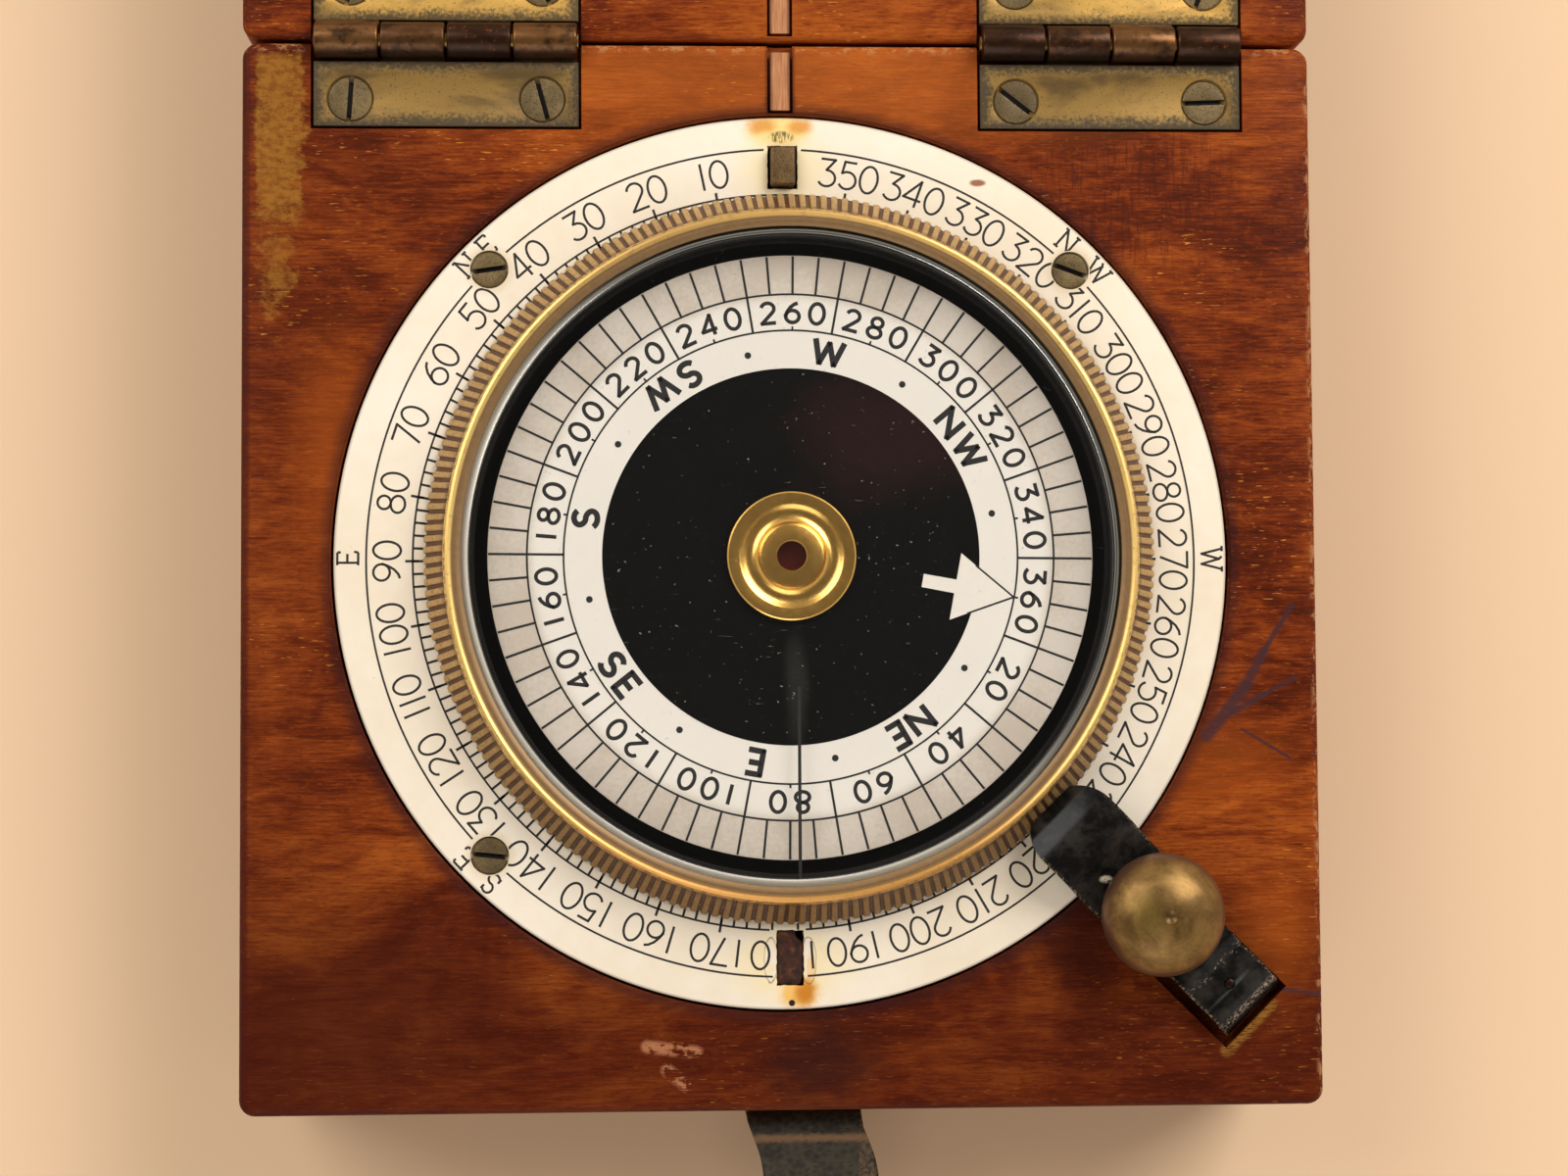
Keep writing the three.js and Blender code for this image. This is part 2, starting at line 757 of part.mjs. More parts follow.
function hingeCasePieces() {
  return hinges.flatMap(([side, middle, slots]) => {
    const leaf = piece(`hinge_${side}_case_leaf`, caseLeaf(), "tarnish");
    const pin = piece(`hinge_${side}_pin`, hingePin(), "tarnish");
    [leaf, pin].forEach((mesh) => mesh.position.set(middle, hingeY, hingeZ));
    const screws = hingeScrewPlaces(middle).map(([x, y], i) =>
      screwPiece(`hinge_${side}_case_screw_${i + 1}`, hingeScrew, slots[i], x, y, caseHeight, "tarnish"),
    );
    return [leaf, pin, ...screws];
  });
}

// Lid, in a frame whose X is the hinges' axis; open, it reaches towards +Y

const lidTop = -lidGap / 2;
const lidNear = lidGap / 2;
const lidFar = lidNear + caseDepth;
const lidRecessFloor = lidTop - lidRecessDepth;

function lidBlock() {
  const block = woodBlock(caseWidth, lidTop - lidHeight, lidTop, lidNear, lidFar);
  const faceZ = caseHeight - cutOverrun;
  const recessTop = closedLidFace + lidRecessDepth;
  const recess = cylinder(lidRecessRadius, faceZ, recessTop, largeSegments);
  const pocketRadius = knobRadius + knobPocketClearance;
  const pocket = cylinder(pocketRadius, faceZ, closedLidFace + knobPocketDepth, middleSegments);
  const slotHalf = stripWidth / 2 + clampSlotClearance;
  const slot = box([toeReach, mortiseFar], [-slotHalf, slotHalf], [faceZ, recessTop]);
  const leaves = hinges.flatMap(([, middle]) => leafRecess(1).map((tool) => tool.translate(middle, 0, 0)));
  const holes = hinges
    .flatMap(([, middle]) => hingeScrewPlaces(middle))
    .map(([x, y]) => screwHole(hingeScrew, x, hingeY - y, lidTop));
  const stud = studBody(seatGap).translate(strapOffset, lidFar + seatGap, lidTop - studHeight);
  return cut(
    block,
    inLid(recess),
    inLid(atClamp(pocket.translate(knobReach, 0, 0))),
    inLid(atClamp(slot)),
    ...leaves,
    ...holes,
    ...lidLines().map(([, from, to, top]) => lineRecess(from, to, top)),
    stud,
  );
}

// Name, near end, far end and height of each strip in the lid
function lidLines() {
  const recessNear = hingeY - lidRecessRadius;
  const recessFar = hingeY + lidRecessRadius;
  return [
    ["lid_direction_strip_near", lidNear + edgeRound, recessNear - lineEndGap - seatGap, lidTop],
    ["lid_direction_strip_floor", recessNear + lineEndGap, recessFar - lineEndGap, lidRecessFloor],
    ["lid_direction_strip_far", recessFar + lineEndGap + seatGap, lidFar - edgeRound, lidTop],
  ];
}

// A stud's body stands along Y with its head towards +Y
function studBody(growth) {
  const neck = studNeckRadius + growth;
  const head = growth ? neck : studHeadRadius;
  const low = -studRoot - growth - (growth ? seatGap : 0);
  return turned(
    [
      [0, low],
      [neck, low],
      [neck, studNeckLength],
      [head, studNeckLength],
      [head, studNeckLength + studHeadHeight / 2],
      [head / 2, studNeckLength + studHeadHeight],
      [0, studNeckLength + studHeadHeight],
    ],
    smallSegments,
  ).rotateX(-Math.PI / 2);
}

function lidPieces() {
  const leaves = hinges.map(([side, middle]) => {
    const leaf = piece(`hinge_${side}_lid_leaf`, caseLeaf().rotateZ(Math.PI), "tarnish");
    leaf.position.x = middle;
    return leaf;
  });
  const screws = hinges.flatMap(([side, middle, , slots]) =>
    hingeScrewPlaces(middle).map(([x, y], i) =>
      screwPiece(`hinge_${side}_lid_screw_${i + 1}`, hingeScrew, slots[i], x, hingeY - y, lidTop, "tarnish"),
    ),
  );
  const stud = piece("lid_stud", studBody(0), "brass");
  stud.position.set(strapOffset, lidFar, lidTop - studHeight);
  const strips = lidLines().map(([name, from, to, top]) => lineStrip(name, from, to, top));
  return [piece("lid_block", lidBlock(), "mahogany"), ...leaves, ...screws, ...strips, stud];
}

// Bezel and glass, in a frame on the bowl's axis

function bezelRing() {
  const low = caseHeight + seatGap;
  const skirtLow = caseHeight - skirtDepth;
  const slopeTop = bezelTop - crestRise;
  const sightTop = bezelTop - sightDrop;
  const sightLow = sightTop - sightEdge;
  const wallTop = sightLow - (bezelSeatRadius - bezelSightRadius);
  return turned(
    [
      [skirtInner, skirtLow],
      [skirtOuter, skirtLow],
      [skirtOuter, low],
      [bezelRadius, low],
      [bezelRadius, low + bezelBand],
      [bezelCrestRadius, slopeTop],
      [bezelCrestRadius - bezelCrestWidth / 4, bezelTop - crestRise / 4],
      [bezelCrestRadius - bezelCrestWidth / 2, bezelTop],
      [bezelCrestRadius - bezelCrestWidth, bezelTop - crestRise / 4],
      [bezelSightRadius, sightTop],
      [bezelSightRadius, sightLow],
      [bezelSeatRadius, wallTop],
      [bezelSeatRadius, retainingRingLow],
      [skirtInner, retainingRingLow],
    ],
    largeSegments,
  );
}

function glassDisc() {
  const radius = bezelSeatRadius - seatGap;
  return turned(
    [
      [0, glassLow],
      [radius, glassLow],
      [radius, glassTop - glassBevel],
      [radius - glassBevel, glassTop],
      [0, glassTop],
    ],
    largeSegments,
  );
}

function bezelPieces() {
  const ringOuter = bezelSeatRadius - seatGap;
  const keeperOuter = bowlLipRadius;
  const keeperTop = bowlTop - bowlLipThickness - seatGap;
  return [
    piece("bezel", bezelRing(), "brass"),
    piece("glass", glassDisc(), "glass"),
    piece(
      "glass_retaining_ring",
      ring(
        ringOuter - retainingRingWidth,
        ringOuter,
        retainingRingLow,
        retainingRingLow + retainingRingHeight,
      ),
      "blackBrass",
    ),
    piece(
      "bezel_keeper_ring",
      ring(keeperOuter - keeperRingWidth, keeperOuter, keeperTop - keeperRingThickness, keeperTop),
      "brass",
    ),
  ];
}

// Card, in a frame on the bowl's axis whose +Y is the card's north

function cardCap() {
  const rimLow = cardTop + seatGap;
  const rimTop = rimLow + capRimThickness;
  const stemLow = cardLow - capStemDrop;
  const boreRadius = jewelRadius + seatGap;
  const shoulder = jewelLow + jewelThickness + seatGap;
  return turned([
    [capHoleRadius, rimTop + capDishDepth],
    [capBossRadius, rimTop + capDishDepth],
    [capDishRadius, rimTop - capDishDepth],
    [capRimRadius, rimTop],
    [capRadius, rimTop],
    [capRadius, rimLow],
    [capStemRadius, rimLow],
    [capStemRadius, stemLow],
    [boreRadius, stemLow],
    [boreRadius, shoulder],
    [capHoleRadius, shoulder],
  ]);
}

function capJewel() {
  const top = jewelLow + jewelThickness;
  return turned(
    [
      [jewelRadius, jewelLow],
      [jewelRadius, top],
      [0, top],
      [0, jewelLow + jewelThickness / 2],
      [needleRadius + seatGap, jewelLow],
    ],
    smallSegments,
  );
}

function cardPieces() {
  const magnetTop = cardLow - seatGap;
  const magnetLow = magnetTop - magnetThickness;
  const clipTop = magnetLow - seatGap;
  const clipSpread = magnetLength / 2 - clipInset;
  const magnet = (side) =>
    box(
      [side * magnetSpread - magnetWidth / 2, side * magnetSpread + magnetWidth / 2],
      [-magnetLength / 2, magnetLength / 2],
      [magnetLow, magnetTop],
    );
  const clip = (side) =>
    box(
      [-clipLength / 2, clipLength / 2],
      [side * clipSpread - clipWidth / 2, side * clipSpread + clipWidth / 2],
      [clipTop - clipThickness, clipTop],
    );
  return [
    piece("card_disc", ring(capStemRadius + seatGap, cardRadius, cardLow, cardTop), "card"),
    piece("card_cap", cardCap(), "brass"),
    piece("cap_jewel", capJewel(), "jewel"),
    piece("magnet_east", magnet(1), "steel"),
    piece("magnet_west", magnet(-1), "steel"),
    piece("magnet_clip_north", clip(1), "brass"),
    piece("magnet_clip_south", clip(-1), "brass"),
  ];
}

// Clamp, in a frame whose X runs along the strip from the dial ring's middle

// The strip's middle line, as shares of the stretch that each part follows and of the crest's height
const toeShares = [
  [0, 0.29],
  [0.1, 0.68],
  [0.25, 1],
  [0.41, 0.84],
  [0.54, 0.33],
  [0.65, 0.05],
  [0.76, 0],
  [1, 0],
];
const ridgeShares = [
  [0.38, 0],
  [0.49, 0.16],
  [0.61, 0.38],
  [0.72, 0.2],
  [0.82, 0.02],
  [1, 0.1],
];
const tailShares = [[0.35, 0.2], [0.78, -0.3], [1, -1.12]];

function stripMiddleLine() {
  const stretches = [
    [toeReach, toeToKnob, toeShares],
    [knobReach, knobToRivet, ridgeShares],
    [rivetReach, rivetToTail, tailShares],
  ];
  const points = stretches.flatMap(([from, length, shares]) =>
    shares.map(([along, rise]) => new THREE.Vector2(from + along * length, stripMiddle + rise * stripCrest)),
  );
  return new THREE.SplineCurve(points);
}

const stripSteps = 44;

// The strip's side view: its middle line with half the thickness on either side
function stripSideOutline() {
  const line = stripMiddleLine();
  const upper = [];
  const lower = [];
  for (let i = 0; i <= stripSteps; i += 1) {
    const point = line.getPoint(i / stripSteps);
    const tangent = line.getTangent(i / stripSteps);
    const normal = new THREE.Vector2(-tangent.y, tangent.x).multiplyScalar(stripThickness / 2);
    upper.push([point.x + normal.x, point.y + normal.y]);
    lower.push([point.x - normal.x, point.y - normal.y]);
  }
  return [...lower, ...upper.reverse()];
}

// The strip's plan: a rounded toe, a wide front and a narrower tail
function stripPlan() {
  const half = stripWidth / 2;
  const tail = stripTailWidth / 2;
  const start = toeReach - stripThickness;
  const r = toeCornerRadius;
  const end = tailReach + stripThickness;
  const shape = new THREE.Shape()
    .moveTo(start + r, -half)
    .lineTo(knobReach - washerRadius, -half)
    .lineTo(knobReach + washerRadius, -tail)
    .lineTo(end, -tail)
    .lineTo(end, tail)
    .lineTo(knobReach + washerRadius, tail)
    .lineTo(knobReach - washerRadius, half)
    .lineTo(start + r, half)
    .absarc(start + r, half - r, r, Math.PI / 2, Math.PI)
    .lineTo(start, r - half)
    .absarc(start + r, r - half, r, Math.PI, 1.5 * Math.PI);
  const low = mortiseFloor;
  const high = stripMiddle + stripCrest + stripThickness;
  return new THREE.ExtrudeGeometry(shape, {
    depth: high - low,
    bevelEnabled: false,
    curveSegments: outlineSegments,
  }).translate(0, 0, low);
}

function clampStrip() {
  const side = prism(stripSideOutline(), -stripWidth, stripWidth).rotateX(Math.PI / 2);
  const low = mortiseFloor;
  const screwHoleTool = cylinder(clampScrewRadius + seatGap + seatGap, low, knobLow);
  const rivetHoleTool = cylinder(rivetRadius + seatGap, low, knobLow);
  return cut(
    common(side, stripPlan()),
    screwHoleTool.translate(knobReach, 0, 0),
    rivetHoleTool.translate(rivetReach, 0, 0),
  );
}

const domeSteps = 6;

function clampKnob() {
  const underside = knobLow + knobCollarHeight;
  const dome = [];
  for (let i = 0; i <= domeSteps; i += 1) {
    const turn = (i * Math.PI) / 2 / domeSteps;
    const radius = Math.max(knobRadius * Math.cos(turn), knobDimpleRadius);
    dome.push([radius, knobRimTop + knobDome * Math.sin(turn)]);
  }
  const boreTop = knobLow + knobBoreDepth;
  const boreRadius = clampScrewRadius + seatGap;
  return turned([
    [0, boreTop],
    [boreRadius, boreTop],
    [boreRadius, knobLow],
    [knobCollarRadius, knobLow],
    [knobCollarRadius, underside],
    [knobRadius, underside + knobCollarHeight],
    ...dome,
    [0, knobTop - knobDimpleDepth],
  ]);
}

function clampPieces() {
  const nutRadius = clampScrewRadius + seatGap;
  const nutTop = caseHeight - seatGap;
  const stripTopAtRivet = stripTopAtKnob + stripCrest * ridgeShares.at(-1)[1];
  const rivetHeadLow = stripTopAtRivet + seatGap;
  const rivet = turned(
    [
      [0, mortiseFloor - rivetRoot],
      [rivetRadius, mortiseFloor - rivetRoot],
      [rivetRadius, rivetHeadLow],
      [rivetHeadRadius, rivetHeadLow],
      [rivetHeadRadius / 2, rivetHeadLow + rivetHeadHeight],
      [0, rivetHeadLow + rivetHeadHeight],
    ],
    smallSegments,
  );
  const pieces = [
    [piece("clamp_strip", clampStrip(), "japan"), 0],
    [
      piece(
        "clamp_washer",
        ring(clampScrewRadius + seatGap, washerRadius, washerLow, washerTop, smallSegments),
        "brass",
      ),
      knobReach,
    ],
    [piece("clamp_knob", clampKnob(), "brass"), knobReach],
    [
      piece(
        "clamp_screw",
        cylinder(clampScrewRadius, caseHeight - clampScrewReach, knobLow + knobBoreDepth - seatGap),
        "steel",
      ),
      knobReach,
    ],
    [
      piece(
        "clamp_nut",
        ring(nutRadius, nutRadius + nutWall, caseHeight - nutDepth, nutTop, smallSegments),
        "brass",
      ),
      knobReach,
    ],
    [piece("clamp_rivet", rivet, "brass"), rivetReach],
  ];
  return pieces.map(([mesh, along]) => {
    mesh.position.set(along, clampOffset, 0);
    return mesh;
  });
}

// Leather tab: a root on the front wall, and a flap that folds about an axis along X

function strapPieces() {
  const sides = [strapOffset - strapWidth / 2, strapOffset + strapWidth / 2];
  const faces = [strapFaceY, strapFaceY + strapThickness];
  const root = cut(box(sides, faces, [strapRootLow, strapRootTop]), ...strapNailHoles());
  const nails = strapNailHeights().map((z, i) => {
    const nail = piece(`strap_nail_${i + 1}`, strapNailBody(0), "brass");
    nail.position.set(strapOffset, strapFaceY - seatGap, z);
    return nail;
  });
  return [piece("strap_root", root, "leather"), ...nails];
}

function strapFlap() {
  const half = strapWidth / 2;
  const end = strapLength - half;
  const shape = new THREE.Shape()
    .moveTo(-half, 0)
    .lineTo(half, 0)
    .lineTo(half, end)
    .absarc(0, end, half, 0, Math.PI)
    .lineTo(-half, 0);
  const holeRadius = studHeadRadius + strapHoleClearance;
  shape.holes.push(new THREE.Path().absarc(0, strapHoleReach, holeRadius, 0, 2 * Math.PI));
  const plate = new THREE.ExtrudeGeometry(shape, {
    depth: strapThickness,
    bevelEnabled: false,
    curveSegments: outlineSegments,
  });
  plate.translate(0, 0, strapRise - strapThickness / 2).rotateZ(Math.PI);
  const barrel = cylinder(strapBarrelRadius, -half, half).rotateY(Math.PI / 2);
  const flap = piece("strap_flap", join(plate, barrel), "leather");
  flap.position.set(strapOffset, strapAxisY, strapAxisZ);
  flap.rotation.x = THREE.MathUtils.degToRad(strapDroop);
  return flap;
}

// The whole compass

const compass = new THREE.Group();
compass.add(...casePieces(), ...hingeCasePieces(), ...strapPieces(), strapFlap());

const lid = new THREE.Group();
lid.position.set(0, hingeY, hingeZ);
lid.add(...lidPieces());

const bezel = new THREE.Group();
bezel.position.set(bowlEast, bowlNorth, 0);
bezel.add(...bezelPieces());

const card = new THREE.Group();
card.position.set(bowlEast, bowlNorth, 0);
card.rotation.z = -THREE.MathUtils.degToRad(cardHeading);
card.add(...cardPieces());

const clamp = new THREE.Group();
clamp.rotation.z = clampTurn;
clamp.add(...clampPieces());

compass.add(lid, bezel, card, clamp);

export default compass;
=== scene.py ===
"""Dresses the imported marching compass: shapes its visible pieces and gives each surface its finish."""

import math

import bpy
from mathutils import Matrix, Vector


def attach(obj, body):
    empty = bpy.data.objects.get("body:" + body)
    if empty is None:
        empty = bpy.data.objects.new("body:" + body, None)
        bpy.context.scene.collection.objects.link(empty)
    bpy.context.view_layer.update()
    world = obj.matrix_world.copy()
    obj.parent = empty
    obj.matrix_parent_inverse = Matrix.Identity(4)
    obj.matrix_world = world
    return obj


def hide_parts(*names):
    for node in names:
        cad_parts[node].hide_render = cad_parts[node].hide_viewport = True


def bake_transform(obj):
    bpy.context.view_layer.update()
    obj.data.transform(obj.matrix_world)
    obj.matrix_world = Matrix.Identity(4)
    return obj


bl_info = {
    "name": "Marching compass",
    "version": (1, 0, 0),
    "blender": (4, 5, 0),
    "location": "3D View > Sidebar > Compass",
    "description": "Shapes the pieces of a marching compass around its packed model",
    "category": "Object",
}

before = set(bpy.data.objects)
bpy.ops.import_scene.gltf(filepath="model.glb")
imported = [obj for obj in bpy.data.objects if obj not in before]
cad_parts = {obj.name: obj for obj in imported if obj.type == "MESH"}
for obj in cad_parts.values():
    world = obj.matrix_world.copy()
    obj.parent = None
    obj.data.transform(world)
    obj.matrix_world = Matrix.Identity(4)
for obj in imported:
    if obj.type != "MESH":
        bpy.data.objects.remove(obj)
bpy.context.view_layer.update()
MM = 0.001
TURN = 2 * math.pi

# Places in millimetres, as in the part's source
BOWL_X, BOWL_Y = 0.8, 0.3
CASE_HALF, CASE_TOP = 55.0, 28.0
DIAL_SCREW = 29.84
DIAL_CORNERS = [(x, y) for x in (-DIAL_SCREW, DIAL_SCREW) for y in (-DIAL_SCREW, DIAL_SCREW)]
NORTH_SLOT = ((-1.35, 1.75), (38.2, 42.7))
SOUTH_SLOT = ((-0.9, 1.9), (-43.2, -37.6))
STRIP_HALF = 1.3
HINGE_Y, HINGE_Z = 53.4, 28.2
HINGE_OFFSET, HINGE_HALF, HINGE_DEEP = 34.2, 13.5, 8.8
HINGE_MIDDLES = {"left": -HINGE_OFFSET, "right": HINGE_OFFSET}
HINGE_SCREWS = (-9.8, 9.8)
# The clamp's places lie on its middle line, measured from the case's middle
CLAMP_OFFSET = 1.2
TOE, KNOB, RIVET, TAIL = 36.954, 52.254, 62.354, 66.154
STRAP_X, FOLD_Y, FOLD_Z = 2.3, -57.85, 18.8
STRAP_DROOP = math.radians(14)
NAIL_HEIGHTS = (8.8, 14.2)
STUD_Z = 20.4
HEADING = 100.6

# Where cutters end above the case, the step of a chipped outline, the print's thickness
ABOVE_TOP, RAGGED_STEP, INK_RISE = 29.5, 0.4, 0.02
# The photograph's scale and width, and the camera's sensor
PIXELS_A_MM, PHOTO_WIDTH, SENSOR = 10, 1600, 36


# Modelling


def pick(*objects):
    """Leaves only these objects selected, the first of them active."""
    if bpy.context.object and bpy.context.object.mode != "OBJECT":
        bpy.ops.object.mode_set(mode="OBJECT")
    bpy.ops.object.select_all(action="DESELECT")
    for item in objects:
        item.select_set(True)
    if objects:
        bpy.context.view_layer.objects.active = objects[0]


def edit(obj):
    """Opens a mesh for editing with all of it selected."""
    pick(obj)
    bpy.ops.object.mode_set(mode="EDIT")
    bpy.ops.mesh.select_all(action="SELECT")


def leave():
    """Closes the mesh that is being edited."""
    bpy.ops.object.mode_set(mode="OBJECT")
    return bpy.context.object


def apply_place(obj):
    """Puts an object's place, turn and scale into its mesh."""
    pick(obj)
    bpy.ops.object.transform_apply(location=True, rotation=True, scale=True)
    return obj


def wire(name, points):
    """A chain of edges through points given in millimetres, closed where the last is the first."""
    pick()
    bpy.ops.mesh.primitive_plane_add(size=MM, location=(0, 0, 0))
    obj = bpy.context.object
    obj.name = name
    bpy.ops.object.mode_set(mode="EDIT")
    bpy.ops.mesh.select_mode(type="VERT")
    bpy.ops.mesh.merge(type="CENTER")
    bpy.ops.transform.translate(value=Vector(points[0]) * MM)
    for here, there in zip(points, points[1:]):
        step = (Vector(there) - Vector(here)) * MM
        bpy.ops.mesh.extrude_vertices_move(TRANSFORM_OT_translate={"value": step})
    bpy.ops.mesh.select_all(action="SELECT")
    bpy.ops.mesh.remove_doubles(threshold=MM * 0.002)
    return leave()


def close_shell(reach=0.003):
    """Merges the doubles of the mesh being edited and points its faces outwards."""
    bpy.ops.mesh.select_all(action="SELECT")
    bpy.ops.mesh.remove_doubles(threshold=MM * reach)
    bpy.ops.mesh.normals_make_consistent(inside=False)


def turned(name, profile, segments=128, x=0.0, y=0.0):
    """A solid of revolution about the upright line through x, y from [radius, height] pairs."""
    points = list(profile)
    if points[0][0] > 0 or points[-1][0] > 0:
        points.append(points[0])
    obj = wire(name, [(radius, 0, height) for radius, height in points])
    edit(obj)
    bpy.ops.mesh.spin(steps=segments, angle=TURN, center=(0, 0, 0), axis=(0, 0, 1))
    close_shell()
    leave()
    return moved(obj, x, y)


def tilted(obj, turn, axis, x=0.0, y=0.0, z=0.0):
    """Turns a mesh about an axis through the origin by degrees, then shifts it by millimetres."""
    spin = Matrix.Rotation(math.radians(turn), 4, axis)
    obj.matrix_world = Matrix.Translation(Vector((x, y, z)) * MM) @ spin
    return apply_place(obj)


def moved(obj, x=0.0, y=0.0, z=0.0, turn=0.0):
    """Turns a mesh about Z, then shifts it."""
    return tilted(obj, turn, "Z", x, y, z)


def on_bowl(name, profile, segments=160):
    """A solid of revolution about the axis of the bowl."""
    return turned(name, profile, segments, BOWL_X, BOWL_Y)


def copied(obj, name):
    """A copy of a piece with a mesh of its own."""
    twin = obj.copy()
    twin.data = obj.data.copy()
    twin.name = name
    bpy.context.scene.collection.objects.link(twin)
    return twin


def block(name, across, along, heights):
    """A rectangular block between pairs of millimetres."""
    ends = list(zip(across, along, heights))
    middle = [(a + b) / 2 * MM for a, b in zip(*ends)]
    size = [(b - a) * MM for a, b in zip(*ends)]
    pick()
    bpy.ops.mesh.primitive_cube_add(size=1, location=middle, scale=size)
    obj = bpy.context.object
    obj.name = name
    return apply_place(obj)


def rod(name, radius, low, high, segments=48):
    """A round bar about Z, for cutting and for barrels."""
    pick()
    bpy.ops.mesh.primitive_cylinder_add(
        vertices=segments,
        radius=radius * MM,
        depth=(high - low) * MM,
        location=(0, 0, (low + high) / 2 * MM),
    )
    obj = bpy.context.object
    obj.name = name
    return apply_place(obj)


def drill(radius, low, high, x, y, segments=24):
    """A cutter for an upright hole."""
    return moved(rod("cutter", radius, low, high, segments), x, y)


def prism(name, outline, low, high, plane="XY"):
    """A prism from an outline: its plane is XY, raised along Z, or YZ, raised along X."""
    if plane == "XY":
        points = [(a, b, low) for a, b in outline]
        rise = (0, 0, (high - low) * MM)
    else:
        points = [(low, a, b) for a, b in outline]
        rise = ((high - low) * MM, 0, 0)
    obj = wire(name, points + [points[0]])
    edit(obj)
    bpy.ops.mesh.edge_face_add()
    bpy.ops.mesh.extrude_region_move(TRANSFORM_OT_translate={"value": rise})
    close_shell()
    return leave()


def modified(obj, kind, **settings):
    """Adds one modifier and applies it."""
    pick(obj)
    modifier = obj.modifiers.new("step", kind)
    for key, value in settings.items():
        setattr(modifier, key, value)
    bpy.ops.object.modifier_apply(modifier=modifier.name)
    return obj


def cut(obj, *tools, operation="DIFFERENCE", crossing=False):
    """Cuts a mesh with others, or intersects them, and removes the tools."""
    for tool in tools:
        modified(obj, "BOOLEAN", operation=operation, solver="EXACT", object=tool, use_self=crossing)
        bpy.data.objects.remove(tool)
    return obj


def ragged(across, along, amount):
    """A rectangle's outline whose sides run unevenly, as where an edge has chipped."""
    corners = [(across[i], along[j]) for i, j in ((0, 0), (1, 0), (1, 1), (0, 1), (0, 0))]
    outline = []
    for (x, y), (next_x, next_y) in zip(corners, corners[1:]):
        reach = math.hypot(next_x - x, next_y - y)
        count = max(1, round(reach / RAGGED_STEP))
        for i in range(count):
            wave = math.sin(len(outline) * 2.4) + 0.6 * math.sin(len(outline) * 5.3 + 1)
            out = amount * 0.6 * (wave - 0.2)
            share = i / count
            spot = (x + (next_x - x) * share, y + (next_y - y) * share)
            outline.append((spot[0] + out * (next_y - y) / reach, spot[1] - out * (next_x - x) / reach))
    return outline


def bevelled(obj, width, segments=2, angle=35):
    """Rounds the sharp edges of a mesh."""
    return modified(
        obj,
        "BEVEL",
        width=width * MM,
        segments=segments,
        limit_method="ANGLE",
        angle_limit=math.radians(angle),
    )


def smooth(obj, angle=32):
    """Shades a mesh smooth but for its sharp edges."""
    pick(obj)
    bpy.ops.object.shade_smooth_by_angle(angle=math.radians(angle))
    return obj


def joined(name, parts):
    """Joins meshes into one whose object stands at the origin."""
    for part in parts:
        part.data.update()
    pick(*[apply_place(part) for part in parts])
    if len(parts) > 1:
        bpy.ops.object.join()
    obj = bpy.context.object
    obj.name = name
    return obj


def around(obj, count, step):
    """Repeats a mesh about Z through the origin, step degrees apart."""
    pick()
    bpy.ops.object.empty_add(location=(0, 0, 0), rotation=(0, 0, math.radians(step)))
    turner = bpy.context.object
    modified(
        obj,
        "ARRAY",
        count=count,
        use_relative_offset=False,
        use_object_offset=True,
        offset_object=turner,
    )
    bpy.data.objects.remove(turner)
    return obj


def choose(obj, test, kind="FACE"):
    """Selects, in the mesh being edited, the faces whose middle or the edges whose two ends pass a test."""
    bpy.ops.mesh.select_mode(type=kind)
    bpy.ops.mesh.select_all(action="DESELECT")
    bpy.ops.object.mode_set(mode="OBJECT")
    mesh = obj.data
    if kind == "FACE":
        for face in mesh.polygons:
            face.select = bool(test(face.center / MM, face.normal))
    else:
        for edge in mesh.edges:
            edge.select = bool(test(*[mesh.vertices[i].co / MM for i in edge.vertices]))
    bpy.ops.object.mode_set(mode="EDIT")


def give(obj, *names):
    """Adds finishes to a mesh."""
    for name in names:
        obj.data.materials.append(finish(name))


def assign(obj, index, test):
    """Gives the faces that pass a test another of the finishes of the mesh being edited."""
    choose(obj, test)
    obj.active_material_index = index
    bpy.ops.object.material_slot_assign()


def place(obj, body, finishes, stands_for=()):
    """Gives a finished piece its finishes, unless it has them, and its body."""
    if finishes:
        obj.data.materials.clear()
        give(obj, *([finishes] if isinstance(finishes, str) else finishes))
    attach(obj, body)
    if stands_for:
        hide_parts(*stands_for)
    return obj


def clamp_place(along):
    """A point on the clamp's middle line in the case's frame."""
    half = math.sqrt(0.5)
    return (along + CLAMP_OFFSET) * half, (CLAMP_OFFSET - along) * half


def in_lid(x, y):
    """The place in the open lid that closes over x, y of the case."""
    return x, 2 * HINGE_Y - y


# Shader maths


def linear(colour):
    """Turns a colour as a screen shows it into the light that it stands for."""
    return [c / 12.92 if c <= 0.04045 else ((c + 0.055) / 1.055) ** 2.4 for c in colour[:3]] + [1.0]


def shade(red, green, blue):
    """A colour for the shader from its three screen values."""
    return linear([red / 255, green / 255, blue / 255])


class Value:
    """A number in a shader, on which arithmetic adds Math nodes."""

    def __init__(self, finish, socket):
        self.finish = finish
        self.socket = socket

    def math(self, operation, *others):
        return self.finish.math(operation, self, *others)

    def __add__(self, other):
        return self.math("ADD", other)

    def __radd__(self, other):
        return self.finish.math("ADD", other, self)

    def __sub__(self, other):
        return self.math("SUBTRACT", other)

    def __rsub__(self, other):
        return self.finish.math("SUBTRACT", other, self)

    def __mul__(self, other):
        return self.math("MULTIPLY", other)

    def __truediv__(self, other):
        return self.math("DIVIDE", other)


